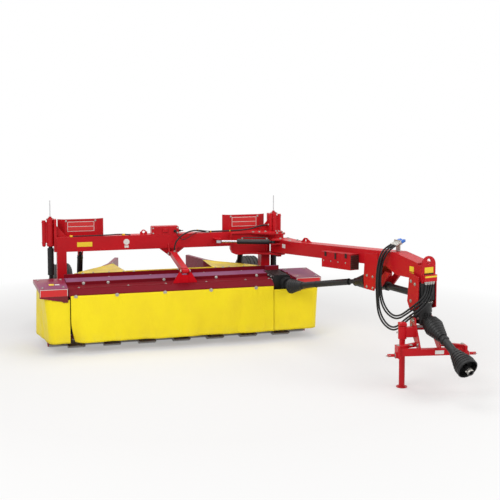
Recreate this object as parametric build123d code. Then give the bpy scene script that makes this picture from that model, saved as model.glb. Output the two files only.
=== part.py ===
from build123d import *
import math
import os

os.makedirs("parts", exist_ok=True)

# Trailed disc mower, parked. Millimetres, +Z up, the machine travels towards -Y.
# Left and right are the driver's: left is +X, where the drawbar is hinged.
# The origin is on the ground under the middle of the cutterbar.

# Discs along the cutterbar
disc_count = 7
disc_pitch = 395
last_disc = (disc_count - 1) / 2 * disc_pitch

# Deck over the cutterbar
deck_margin = 100
deck_half = last_disc + deck_margin
deck_sheet = 5
deck_front = -305
deck_top = 735
step_height = 700
step_back = -100
channel_front = 150
channel_height = 718
rim_front = 270
deck_back = 300
rim_height = 760

# Side hoods outside the deck
hood_front_reach = 300
hood_back_reach = 347
hood_front_half = deck_half + hood_front_reach
hood_back_half = deck_half + hood_back_reach
hood_front = -420
hood_back = 250
hood_height = 722
hood_plate = 95
hood_strip = 56

# Front flap with its hinge on the deck's step
flap_end_inset = 265
flap_left_end = deck_half - flap_end_inset
lip_bottom = 628
lip_drop = 22
hinge_radius = 8
seat_gap = 0.3
hinge_y = deck_front - hinge_radius - seat_gap
hinge_z = step_height - deck_sheet / 2

# Curtains
curtain = 4
curtain_bottom = 122
curtain_gap = 2
curtain_inset = 36
curtain_side = hood_front_half - curtain_inset
curtain_corner = 80

# Cutterbar with its discs
bar_reach = 312
bar_half = last_disc + bar_reach
bar_front = -100
bar_back = 110
bar_bottom = 14
bar_top = 75
boss_radius = 60
boss_top = 84
spindle_radius = 20
spindle_top = 118
running_fit = 0.05
disc_gap = 0.4
disc_radius = 200
disc_half_width = 105
disc_sheet = 10
dome_radius = 80
dome_top = 138
knife_tip = 275
knife_width = 45
knife_sheet = 4
drum_radius = 95
drum_top = 558
skid_width = 190
skid_front = -120
skid_back = 120
skid_toe = -195
skid_sheet = 8

# Gearbox over the left disc, measured from that disc's axis
gearbox_inner = 140
gearbox_outer = 65
gearbox_front = -300
gearbox_back = 70
gearbox_bottom = 566
gearbox_top = 742
gearbox_corner = 35
guard_ring = 74
guard_neck = 45
guard_length = 85

# Carrier tube under the deck, its end plates and its arms to the springs
tube_front = 160
tube_back = 260
tube_bottom = 540
tube_top = 640
end_plate = 12
arm_width = 50
arm_back = 640
spring_seat = 665

# Portal frame behind the deck
frame_mid = -50
beam_y = 600
beam_depth = 150
beam_bottom = 984
beam_height = 171
leg_offset = 1240
leg_width = 110
leg_bottom = 330
gusset_rise = 135
gusset_run = 120
gusset_sheet = 12

# Spring towers
column_width = 30
column_depth = 120
tower_top = 1365
tower_bottom = 1050
wide_offset = 1365
wide_radius = 40
thin_offset = 1439
thin_radius = 22
cap_height = 18
gauge_radius = 6
gauge_height = 205
strut_radius = 36

# Centre link between beam and deck
link_x = 15
link_back = 485
link_back_height = 925
link_front = -300
link_front_height = 838
link_width = 70
link_pin = 12
mast_width = 46
mast_foot = 270

# Sign boards, valve box and lifting eye on the beam
board_offset = 1005
board_width = 540
board_top = 1352
board_height = 330
board_wing = 95
board_sheet = 3
board_fold = 30
box_x = -63
box_width = 328
box_height = 92
eye_x = -317
eye_width = 86
eye_height = 52
eye_hole = 16

# Hitch side pivot of the drawbar
pivot_x = 1310
pivot_y = 360
pivot_pin = 35
pivot_boss = 80
plate_top = 1150
plate_bottom = 882
plate_sheet = 20
housing_left = 1200
housing_right = 730
housing_front = 460
housing_round = 70

# Drawbar, measured along its length from the pivot
drawbar_angle = 12.7
bar_width = 160
bar_height = 150
bar_start = -50
bar_top_start = 1063
bar_rise = 0.0676
bend_at = 2420
nose_at = 2800
nose_top = 1170
nose_bottom = 1012
throat_at = 2300

# Tool box on the drawbar's right side
tool_start = 1280
tool_length = 550
tool_width = 108
tool_height = 165
tool_drop = 72

# Bearing bracket, shaft heights and joint centres
bracket_start = 1930
bracket_length = 240
bracket_sheet = 10
bearing_height = 850
bearing_radius = 52
stub_radius = 22
joint_front = 1900
joint_rear_shift = 15
joint_rear_x = last_disc + joint_rear_shift
joint_rear_y = -480
joint_rear_height = 640
shaft_lift = 9
cross_radius = 20
cross_height = 60
fork_sheet = 8
fork_half = 18
fork_arm = 16
bell_radius = 82
bell_neck = 44
bell_length = 165
bell_sheet = 5
tube_radius = 34
tube_sheet = 3
tube_length = 890
inner_radius = 11
inner_length = 700

# Drawbar nose, gearboxes and hitch
swivel_at = 2780
nose_plate_at = 2868
nose_plate_width = 158
nose_plate_top = 1241
nose_plate_bottom = 985
nose_plate_sheet = 14
nose_hole = 26
cheek_offset = 105
cheek_sheet = 12
cheek_depth = 190
cheek_front = 70
cheek_bottom = 700
upper_radius = 90
upper_bottom = 716
upper_top = 985
lower_radius = 84
lower_top = 715
lower_bottom = 590
swivel_pin = 30
hitch_turn = -9
side_plate_offset = 98
side_plate_sheet = 12
side_plate_top = 650
bar_forward = -285
bar_depth = 60
cross_half = 330
cross_bottom = 345
bar_tall = 60
hook_radius = 36
hook_length = 90
draft_pin = 14
draft_pin_length = 72
jack_x = -228
jack_y = -118
jack_radius = 28
jack_fit = 0.1
sleeve_radius = 40
sleeve_bottom = 465
sleeve_top = 585
foot_radius = 52
foot_sheet = 8

# Input shaft hanging from the lower gearbox
input_from = (35, -150, 612)
input_to = (205, -705, 318)
end_bell_radius = 96
end_bell_length = 210
yoke_bore = 17.45
yoke_radius = 30
yoke_length = 80

# Wheels on their arms
wheel_mid = -70
wheel_offset = 1200
axle_y = 1120
tyre_radius = 380
tyre_width = 264
rim_radius = 194
hub_radius = 62
hub_half = 62
axle_radius = 28
arm_pivot_z = 430
arm_inset = 205
arm_sheet = 60
arm_pin = 30
arm_bush = 48

# Lift cylinders
lift_top_y = 705
lift_top_z = 938
lift_lug_y = 915
lift_lug_z = 470
lift_pin = 12
lift_eye = 26
lift_barrel = 34
lift_rod = 16
lift_length = 340
rod_eye_slack = 4

# Steering cylinder
steer_x = 570
steer_y = 415
steer_z = 1060
steer_lug_at = 130
steer_lug_side = -152
steer_pin = 14
steer_barrel = 30
steer_eye = 42
steer_slack = 12
steer_rod = 15
steer_length = 430

# Swath boards behind the deck
swath_start = (950, 345)
swath_knee = (590, 1170)
swath_end = (450, 1640)
swath_top = 725
swath_height = 430
swath_sheet = 4
swath_flange = 45

# Hoses, their rack on the nose and their places in the holder
hose_radius = 9
coupling_radius = 13
fitting_radius = 12
fitting_length = 18
rack_half = 72
rack_depth = 34
rack_bottom = 1003
rack_height = 62
hose_pitch = 28
holder_height = 1302
# columns: shift outwards, lowest height, shift backwards, place along the holder, first drop, drops round the
# rack's side (two), slack of the low stretch, count of runs up to the holder
hose_table = (
    (0, 612, 0, 2418, 915, (846, 775), 0, 3),
    (0, 586, 26, 2366, 907, (810, 742), 0, 3),
    (27, 500, 6, 2392, 884, (752, 690), 30, 4),
    (27, 474, 32, 2340, 868, (714, 656), 24, 4),
)


def block(x0, x1, y0, y1, z0, z1):
    """Box between two corners."""
    return Pos((x0 + x1) / 2, (y0 + y1) / 2, (z0 + z1) / 2) * Box(x1 - x0, y1 - y0, z1 - z0)


def along_x(points, x0, x1):
    """Outline given as (y, z) points, drawn out from x0 to x1."""
    outline = make_face(Polyline(*[(x0, y, z) for y, z in points], close=True))
    return extrude(outline, amount=x1 - x0, dir=(1, 0, 0))


def along_y(points, y0, y1):
    """Outline given as (x, z) points, drawn out from y0 to y1."""
    outline = make_face(Polyline(*[(x, y0, z) for x, z in points], close=True))
    return extrude(outline, amount=y1 - y0, dir=(0, 1, 0))


def along_z(points, z0, z1):
    """Outline given as (x, y) points, drawn up from z0 to z1."""
    outline = make_face(Polyline(*[(x, y, z0) for x, y in points], close=True))
    return extrude(outline, amount=z1 - z0, dir=(0, 0, 1))


def rod(start, end, radius):
    """Round bar between two points."""
    start, end = Vector(*start), Vector(*end)
    seat = Plane(origin=start, z_dir=end - start)
    return seat * Cylinder(radius, (end - start).length, align=(Align.CENTER, Align.CENTER, Align.MIN))


def cone(start, end, radius_start, radius_end):
    """Tapered bar between two points."""
    start, end = Vector(*start), Vector(*end)
    seat = Plane(origin=start, z_dir=end - start)
    taper = Cone(radius_start, radius_end, (end - start).length, align=(Align.CENTER, Align.CENTER, Align.MIN))
    return seat * taper


def point_on(start, end, distance):
    """The point at a distance from start towards end."""
    start, end = Vector(*start), Vector(*end)
    return tuple(start + (end - start).normalized() * distance)


def mirrored(side, shape):
    """Keeps a shape for the left side, or mirrors it for the right one."""
    return shape if side > 0 else mirror(shape, about=Plane.YZ)


def save(shape, name):
    """Writes one node."""
    shape.label = name
    export_step(shape, f"parts/{name}.step")


sides = (("right", -1), ("left", 1))
leg_outer = leg_offset + leg_width / 2
leg_inner = leg_offset - leg_width / 2
beam_front = beam_y - beam_depth / 2
beam_back = beam_y + beam_depth / 2
beam_top = beam_bottom + beam_height
drawbar_place = Pos(pivot_x, pivot_y, 0) * Rot(0, 0, drawbar_angle)
link_fitting = (link_x + 15, link_back - 45, link_back_height + 25)
column_fitting = (frame_mid + leg_outer, beam_front + 41, beam_top + 69)


def main_frame():
    """Welded portal: beam, two legs, tower columns, gussets, arm pins and pivot housing."""
    beam = block(frame_mid - leg_outer, frame_mid + leg_outer, beam_front, beam_back, beam_bottom, beam_top)
    body = beam
    for name, side in sides:
        x = frame_mid + side * leg_offset
        body += block(x - leg_width / 2, x + leg_width / 2, beam_front, beam_back, leg_bottom, beam_bottom)
        column = sorted((frame_mid + side * leg_outer, frame_mid + side * (leg_outer + column_width)))
        half = column_depth / 2
        body += block(column[0], column[1], beam_y - half, beam_y + half, beam_bottom, tower_top)
        edge = frame_mid + side * leg_outer
        gusset = [(edge, beam_top), (edge, beam_top + gusset_rise), (edge - side * gusset_run, beam_top)]
        body += along_y(gusset, beam_y - gusset_sheet / 2, beam_y + gusset_sheet / 2)
        arm_x = wheel_mid + side * (wheel_offset - arm_inset)
        inner = frame_mid + side * leg_inner
        bush_out = arm_x + side * arm_sheet * 0.7
        bush_in = arm_x - side * arm_sheet * 0.7
        body += rod((inner, beam_y, arm_pivot_z), (bush_out + side * 1, beam_y, arm_pivot_z), arm_bush)
        body += rod((inner, beam_y, arm_pivot_z), (bush_in - side * 3, beam_y, arm_pivot_z), arm_pin)
        body += rod((bush_in - side * 1, beam_y, arm_pivot_z), (bush_in - side * 11, beam_y, arm_pivot_z), arm_bush)
        lug = [(beam_back - 60, beam_bottom), (beam_back, beam_bottom), (lift_top_y + 22, lift_top_z + 10)]
        lug += [(lift_top_y + 22, lift_top_z - 22), (lift_top_y - 22, lift_top_z - 22)]
        for ear in (-1, 1):
            ear_x = arm_x + ear * (arm_sheet / 2 - 6)
            body += along_x(lug, ear_x - 6, ear_x + 6)
        body += rod((arm_x - 30, lift_top_y, lift_top_z), (arm_x + 30, lift_top_y, lift_top_z), lift_pin)
    hanger = [(link_x - 155, beam_bottom), (link_x - 45, link_back_height - 25), (link_x + 45, link_back_height - 25)]
    hanger += [(link_x + 155, beam_bottom)]
    for y in (beam_front + 20, beam_front + 60):
        body += along_y(hanger, y, y + gusset_sheet)
    x, y, z = column_fitting
    body += rod((x - fitting_length, y, z), (x + 5, y, z), fitting_radius)
    return body + link_hanger() + pivot_housing() + steer_bracket() + lifting_eye()


def link_hanger():
    """Ears on the beam's front that hold the centre link."""
    ears = None
    for ear in (-1, 1):
        x = link_x + ear * (link_width / 2 + 8)
        ear_outline = [(beam_front, beam_bottom - 5), (beam_front, link_back_height - 25)]
        ear_outline += [(link_back - 25, link_back_height - 25), (link_back - 25, link_back_height + 25), (beam_front, beam_bottom + 60)]
        piece = along_x(ear_outline, x - 5, x + 5)
        ears = piece if ears is None else ears + piece
    span = link_width / 2 + 13
    ears += rod((link_x - span, link_back, link_back_height), (link_x + span, link_back, link_back_height), link_pin)
    return ears


def centre_link():
    """Box link from the beam forward to the mast on the deck."""
    back = (link_x, link_back, link_back_height)
    front = (link_x, link_front, link_front_height)
    half = link_width / 2
    eye_back = rod((link_x - half, *back[1:]), (link_x + half, *back[1:]), 26)
    eye_front = rod((link_x - half, *front[1:]), (link_x + half, *front[1:]), 26)
    slope = math.atan2(back[2] - front[2], back[1] - front[1])
    rise = 30 / math.cos(slope)
    bar = along_x(
        [(back[1] - 18, back[2] - rise), (back[1] - 18, back[2] + rise), (front[1] + 18, front[2] + rise),
         (front[1] + 18, front[2] - rise)], link_x - half, link_x + half)
    x, y, z = link_fitting
    body = bar + eye_back + eye_front + rod((x, y, z - 10), (x, y, z + fitting_length), fitting_radius)
    for y, z in (back[1:], front[1:]):
        body -= rod((link_x - half - 1, y, z), (link_x + half + 1, y, z), link_pin + running_fit)
    return body


def pivot_housing():
    """Deep end of the beam that carries the pivot's two plates."""
    corner = housing_round
    outline = [(housing_left, plate_bottom), (housing_left, plate_top), (housing_right, plate_top)]
    outline += [(housing_right, plate_bottom + corner), (housing_right + corner * 0.3, plate_bottom + corner * 0.3)]
    outline += [(housing_right + corner, plate_bottom)]
    body = along_y(outline, housing_front, beam_front)
    pocket = [(x + (14 if x < 900 else -14), z + (14 if z < 1000 else -14)) for x, z in outline]
    body -= along_y(pocket, housing_front - 1, housing_front + 25)
    return body


def pivot_plate(level):
    """Plate on the housing and the leg, with the bore that the drawbar's pin turns in."""
    tip = pivot_x + pivot_boss - 5
    plan = [(housing_left, beam_front), (housing_left, housing_front), (housing_left - 200, housing_front)]
    plan += [(pivot_x - 70, pivot_y - 40), (tip, pivot_y - 30), (tip, pivot_y + 60), (frame_mid + leg_outer, beam_front)]
    body = along_z(plan, level, level + plate_sheet)
    body += Pos(pivot_x, pivot_y, level + plate_sheet / 2) * Cylinder(pivot_boss, plate_sheet)
    return body - rod((pivot_x, pivot_y, level - 1), (pivot_x, pivot_y, level + plate_sheet + 1), pivot_pin + running_fit)


def steer_bracket():
    """Ears on the beam's front for the steering cylinder's rod eye."""
    body = None
    for level in (-30, 18):
        plan = [(steer_x - 45, beam_front), (steer_x - 24, steer_y - 24), (steer_x + 24, steer_y - 24)]
        plan += [(steer_x + 45, beam_front)]
        ear = along_z(plan, steer_z + level, steer_z + level + 12)
        body = ear if body is None else body + ear
    return body + rod((steer_x, steer_y, steer_z - 40), (steer_x, steer_y, steer_z + 40), steer_pin)


def spring_tower(side):
    """Two spring tubes with their cap and gauge rod, outside the leg."""
    wide_x = frame_mid + side * wide_offset
    thin_x = frame_mid + side * thin_offset
    body = rod((wide_x, beam_y, tower_bottom), (wide_x, beam_y, tower_top), wide_radius)
    body += rod((thin_x, beam_y, tower_bottom + 15), (thin_x, beam_y, tower_top - 10), thin_radius)
    body += Pos(thin_x, beam_y, tower_bottom + 15) * Sphere(thin_radius)
    web = sorted((wide_x, thin_x))
    body += block(web[0], web[1], beam_y - 10, beam_y + 10, tower_bottom + 40, tower_top - 30)
    body += rod((wide_x, beam_y, tower_top), (wide_x, beam_y, tower_top + cap_height), wide_radius - 12)
    body += block(wide_x - 44, wide_x + 44, beam_y - 30, beam_y + 30, tower_top - 4, tower_top + 6)
    edge = frame_mid + side * (leg_outer + column_width)
    trim = sorted((edge, edge - side * 60))
    body -= block(trim[0], trim[1], beam_y - 80, beam_y + 80, tower_bottom - 10, tower_top + 40)
    top = tower_top + cap_height
    return body + rod((wide_x, beam_y, top), (wide_x, beam_y, top + gauge_height), gauge_radius)


def spring_strut(side):
    """Sleeved spring rod from the tower down to the carrier's arm."""
    x = frame_mid + side * wide_offset
    body = rod((x, beam_y, spring_seat + 45), (x, beam_y, tower_bottom - 25), strut_radius)
    body += rod((x, beam_y, tower_bottom - 25), (x, beam_y, tower_bottom), strut_radius - 12)
    return body + rod((x, beam_y, spring_seat), (x, beam_y, spring_seat + 45), strut_radius - 14)


def sign_board(side):
    """Folded sheet standing behind the beam, its ends bent back."""
    mid = frame_mid + side * board_offset
    half = board_width / 2
    flat = half - board_wing * math.cos(math.radians(board_fold))
    back = board_wing * math.sin(math.radians(board_fold))
    front = [(mid - half, beam_back + back), (mid - flat, beam_back), (mid + flat, beam_back), (mid + half, beam_back + back)]
    rear = [(x, y + board_sheet) for x, y in reversed(front)]
    return along_z(front + rear, board_top - board_height, board_top)


def valve_box():
    """Small cover on the beam with its connector."""
    body = block(box_x - box_width / 2, box_x + box_width / 2, beam_front + 10, beam_back - 25, beam_top, beam_top + box_height)
    body = fillet(body.edges().filter_by(Axis.Y).group_by(Axis.Z)[-1], 12)
    return body + block(box_x - 30, box_x + 30, beam_front - 6, beam_front + 10, beam_top + 25, beam_top + 65)


def lifting_eye():
    """Rounded lifting plate on the beam."""
    half = eye_width / 2
    body = block(eye_x - half, eye_x + half, beam_y - 6, beam_y + 6, beam_top, beam_top + eye_height - 20)
    body += rod((eye_x, beam_y - 6, beam_top + 26), (eye_x, beam_y + 6, beam_top + 26), 30)
    return body - rod((eye_x, beam_y - 7, beam_top + 28), (eye_x, beam_y + 7, beam_top + 28), eye_hole)


def deck():
    """Bent deck sheet with rear channel and rim, end webs, mast and gearbox bracket."""
    line = [(deck_front, step_height), (step_back - 6, step_height), (step_back, deck_top), (channel_front, deck_top)]
    line += [(channel_front + 14, channel_height), (rim_front, channel_height), (rim_front + 6, rim_height)]
    line += [(deck_back, rim_height)]
    outline = line + [(deck_back, rim_height - 26), (deck_back - deck_sheet, rim_height - 26)]
    outline += [(deck_back - deck_sheet, rim_height - deck_sheet), (rim_front + 12, rim_height - deck_sheet)]
    outline += [(rim_front + 5, channel_height - deck_sheet), (channel_front + 10, channel_height - deck_sheet)]
    outline += [(channel_front - 4, deck_top - deck_sheet), (step_back + 5, deck_top - deck_sheet)]
    outline += [(step_back - 1, step_height - deck_sheet), (deck_front, step_height - deck_sheet)]
    body = along_x(outline, -deck_half, deck_half)
    body -= block(1030, 1262, deck_front - 1, 80, step_height - 20, deck_top + 10)
    web = [(deck_front + 10, step_height - 2), (deck_front + 40, tube_top + 10), (tube_front, tube_top)]
    web += [(tube_back, tube_top), (tube_back, channel_height - 2), (channel_front + 12, channel_height - 2)]
    web += [(channel_front - 2, deck_top - 2), (step_back + 1, deck_top - 2), (step_back - 4, step_height - 2)]
    for x in (2 - deck_half, -660, link_x - 4, 640, deck_half - 10):
        body += along_x(web, x, x + 8)
    mast = [(link_x - mast_foot / 2, step_height - 2), (link_x - mast_foot / 2, step_height + 14)]
    mast += [(link_x - mast_width, link_front_height + 22), (link_x + mast_width, link_front_height + 22)]
    mast += [(link_x + mast_foot / 2, step_height + 14), (link_x + mast_foot / 2, step_height - 2)]
    post = along_y(mast, link_front + 2, link_front + 14)
    slot = block(link_x - link_width / 2 - 3, link_x + link_width / 2 + 3, link_front, link_front + 20,
                 link_front_height - 45, link_front_height + 30)
    body += post - slot
    for ear in (-1, 1):
        x = link_x + ear * (link_width / 2 + 8)
        side = [(link_front - 2, step_height - 2), (link_front - 2, link_front_height + 22)]
        side += [(link_front + 28, link_front_height + 22), (step_back - 12, step_height - 2)]
        body += along_x(side, x - 5, x + 5)
    span = link_width / 2 + 13
    body += rod((link_x - span, link_front, link_front_height), (link_x + span, link_front, link_front_height), link_pin)
    ramp = [(70, deck_top - 2), (90, deck_top + 52), (channel_front - 20, deck_top + 52), (channel_front - 4, deck_top - 2)]
    return body + along_x(ramp, 1065, 1225)


def side_hood(side):
    """Sheet hood outside the deck with its front plate."""
    inner = deck_half + 1
    top = [(inner, hood_front), (hood_front_half, hood_front), (hood_back_half, hood_back), (inner, hood_back)]
    body = along_z(top, hood_height - deck_sheet, hood_height)
    low = hood_height - hood_plate
    face = [(inner, low - hood_strip), (inner, hood_height), (hood_front_half, hood_height), (hood_front_half, low)]
    body += along_y(face, hood_front, hood_front + deck_sheet)
    edge = [(hood_front_half - 4, hood_front), (hood_front_half, hood_front), (hood_back_half, hood_back)]
    edge += [(hood_back_half - 4, hood_back)]
    body += along_z(edge, hood_height - 40, hood_height)
    body += block(inner, hood_back_half - 2, hood_back - deck_sheet, hood_back, hood_height - 40, hood_height)
    body += block(inner, inner + 6, hood_front, hood_back, hood_height - 60, hood_height)
    return mirrored(side, body)


def front_flap():
    """Hinged lip of the deck that carries the front curtain."""
    line = [(hinge_y, step_height), (hinge_y - 18, step_height - 2), (hood_front, lip_bottom + lip_drop)]
    back = [(hood_front, lip_bottom), (hood_front + 5, lip_bottom), (hood_front + 5, lip_bottom + lip_drop - 3)]
    back += [(hinge_y - 16, step_height - 7), (hinge_y, step_height - 5)]
    right_end = 7 - deck_half
    body = along_x(line + back, right_end, flap_left_end)
    return body + rod((right_end, hinge_y, hinge_z), (flap_left_end, hinge_y, hinge_z), hinge_radius)


def front_curtain():
    """Tarpaulin hanging in front of the discs from the flap's lip."""
    y = hood_front - curtain_gap
    return block(-deck_half + 25, flap_left_end - 4, y - curtain, y + curtain_gap, curtain_bottom, lip_bottom + 12)


def side_curtain(side):
    """Tarpaulin round the end of the cutterbar, from the hood's front plate to its back."""
    low = hood_height - hood_plate - 30
    front = hood_front + 6
    inner = {1: flap_left_end + 12, -1: deck_half + 5}[side]
    body = block(inner, curtain_side - curtain_corner + 1, front, front + curtain, curtain_bottom, low)
    turns = [math.radians(15 * step) for step in range(7)]
    centre = (curtain_side - curtain_corner, front + curtain_corner)
    outer = [(centre[0] + curtain_corner * math.sin(a), centre[1] - curtain_corner * math.cos(a)) for a in turns]
    reach = curtain_corner - curtain
    inside = [(centre[0] + reach * math.sin(a), centre[1] - reach * math.cos(a)) for a in turns]
    back = hood_back - 20
    wall = outer + [(curtain_side, back), (curtain_side - curtain, back)] + inside[::-1]
    body += along_z(wall, curtain_bottom, hood_height - deck_sheet - 1)
    return mirrored(side, body)


def carrier():
    """Cross tube under the deck, end plates down to the cutterbar and arms back to the springs."""
    body = block(-bar_half, bar_half, tube_front, tube_back, tube_bottom, tube_top)
    plate = [(bar_front, bar_bottom + 10), (bar_back - 5, bar_bottom + 10), (tube_back, tube_bottom), (tube_back, tube_top)]
    plate += [(bar_front + 60, tube_top - 20)]
    for name, side in sides:
        edge = sorted((side * bar_half, side * (bar_half - end_plate)))
        body += along_x(plate, edge[0], edge[1])
        x = frame_mid + side * wide_offset
        arm = [(tube_back - 1, tube_bottom + 20), (tube_back - 1, tube_top), (beam_y - 60, spring_seat), (arm_back, spring_seat)]
        arm += [(arm_back, spring_seat - 45), (beam_y - 60, spring_seat - 60)]
        body += along_x(arm, x - arm_width / 2, x + arm_width / 2)
        x = frame_mid + side * leg_offset
        bracket = [(tube_front + 10, tube_bottom), (tube_back, tube_bottom), (tube_back + 20, 400), (tube_front + 60, 400)]
        body += along_x(bracket, x - 30, x + 30)
        body += block(x - 22, x + 22, tube_back - 10, beam_front, 395, 440)
    return body


def cutterbar():
    """Flat gear housing with spindle bosses and the skids under it."""
    outline = [(bar_front, bar_bottom + 24), (bar_front + 28, bar_bottom), (bar_back - 20, bar_bottom)]
    outline += [(bar_back, bar_bottom + 20), (bar_back, bar_top - 12), (bar_back - 25, bar_top), (bar_front + 55, bar_top)]
    body = along_x(outline, -bar_half + end_plate, bar_half - end_plate)
    for x in disc_places():
        body += rod((x, 0, bar_top - 10), (x, 0, boss_top), boss_radius)
        body += rod((x, 0, boss_top - 5), (x, 0, spindle_top), spindle_radius)
        skid = [(skid_toe, 34), (skid_front, 0), (skid_back, 0), (skid_back, bar_bottom), (bar_front + 28, bar_bottom)]
        skid += [(bar_front, bar_bottom + 24), (skid_toe + 12, 34 + skid_sheet)]
        body += along_x(skid, x - skid_width / 2, x + skid_width / 2)
    return body


def disc_places():
    """The discs' places along the cutterbar."""
    return [number * disc_pitch - last_disc for number in range(disc_count)]


def cutting_disc(number):
    """Oval disc with its dome and two knives; the left one carries the drive drum."""
    x = disc_places()[number]
    low = boss_top + disc_gap
    plate = Cylinder(disc_radius, disc_sheet) & Box(2 * disc_radius, 2 * disc_half_width, disc_sheet)
    body = Pos(0, 0, low + 10 + disc_sheet / 2) * plate
    body += rod((0, 0, low), (0, 0, low + 12), boss_radius - 12)
    body += cone((0, 0, low + 12), (0, 0, dome_top), dome_radius, dome_radius * 0.45)
    for end in (-1, 1):
        knife = block(disc_radius - 60, knife_tip, -knife_width / 2, knife_width / 2, low + 10 - knife_sheet, low + 10)
        knife += rod((disc_radius - 30, 0, low + 2), (disc_radius - 30, 0, low + 12), 16)
        body += knife if end > 0 else Rot(0, 0, 180) * knife
    if number == disc_count - 1:
        body += rod((0, 0, low + 20), (0, 0, drum_top), drum_radius)
    body -= rod((0, 0, low - 1), (0, 0, spindle_top + 1), spindle_radius + running_fit)
    return Pos(x, 0, 0) * Rot(0, 0, 90 * (number % 2)) * body


def mower_gearbox():
    """Gearbox over the left disc with its guard and input stub."""
    inner, outer = last_disc - gearbox_inner, last_disc + gearbox_outer
    body = block(inner, outer, gearbox_front, gearbox_back, gearbox_bottom, gearbox_top)
    body = fillet(body.edges().filter_by(Axis.Y), gearbox_corner)
    flange = (gearbox_top + gearbox_bottom) / 2 + 46
    body += block(inner - 13, outer + 12, gearbox_front + 50, gearbox_back - 10, flange, flange + 16)
    x, z = joint_rear_x, joint_rear_height
    body += rod((x, gearbox_front, z), (x, gearbox_front - guard_length, z), guard_ring)
    body += rod((x, gearbox_front - 80, z), (x, joint_rear_y + 70, z), guard_neck)
    body += rod((x, gearbox_front - 100, z), (x, joint_rear_y + 25, z), stub_radius)
    return body + Pos(x, joint_rear_y, z) * fork()


def fork():
    """Two ears round a shaft's cross, at the origin, open towards -Y."""
    half = cross_height / 2 + seat_gap
    body = block(-fork_half, fork_half, 25, 33, -half - 1, half + 1)
    for ear in (-1, 1):
        edge = sorted((ear * half, ear * (half + fork_sheet)))
        body += block(-fork_half, fork_half, 0, 33, edge[0], edge[1])
        body += rod((0, 0, edge[0]), (0, 0, edge[1]), fork_half)
    return body


def cross(centre, toward):
    """Upright pin of a shaft's joint with the arm that joins it to the shaft."""
    low, high = centre[2] - cross_height / 2, centre[2] + cross_height / 2
    body = rod((*centre[:2], low), (*centre[:2], high), cross_radius)
    return body + rod(centre, point_on(centre, toward, bell_length), fork_arm)


def bell(start, toward, back, radius, neck, length):
    """Hollow guard cone that opens at a shaft's joint centre."""
    mouth = point_on(start, toward, -back)
    end = point_on(start, toward, length)
    outer = cone(mouth, end, radius, neck)
    inner = cone(point_on(start, toward, -back - 1), point_on(start, toward, length - 40), radius - bell_sheet, neck - bell_sheet)
    return outer - inner


joint_rear = (joint_rear_x, joint_rear_y, joint_rear_height)
joint_front_point = tuple((drawbar_place * Pos(0, -joint_front, bearing_height)).position)


def shaft_rear():
    """Outer half of the long drive shaft, with its guard bell at the mower."""
    aim = (joint_front_point[0], joint_front_point[1], joint_front_point[2] + shaft_lift)
    body = bell(joint_rear, aim, 0, bell_radius, bell_neck, bell_length)
    tube = rod(point_on(joint_rear, aim, bell_length - 35), point_on(joint_rear, aim, tube_length), tube_radius)
    tube -= rod(point_on(joint_rear, aim, bell_length), point_on(joint_rear, aim, tube_length + 1), tube_radius - tube_sheet)
    return body + tube + cross(joint_rear, aim)


def shaft_front():
    """Inner half of the long drive shaft, with its guard bell at the drawbar."""
    aim = (joint_rear[0], joint_rear[1], joint_rear[2] - shaft_lift)
    body = bell(joint_front_point, aim, -10, bell_radius + 6, bell_neck, bell_length)
    start = point_on(joint_front_point, aim, bell_length - 35)
    body += rod(start, point_on(joint_front_point, aim, inner_length), inner_radius)
    return body + cross(joint_front_point, aim)


def bar_height_at(distance):
    """Height of the drawbar's top at a distance from the pivot."""
    return bar_top_start + bar_rise * distance


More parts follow.
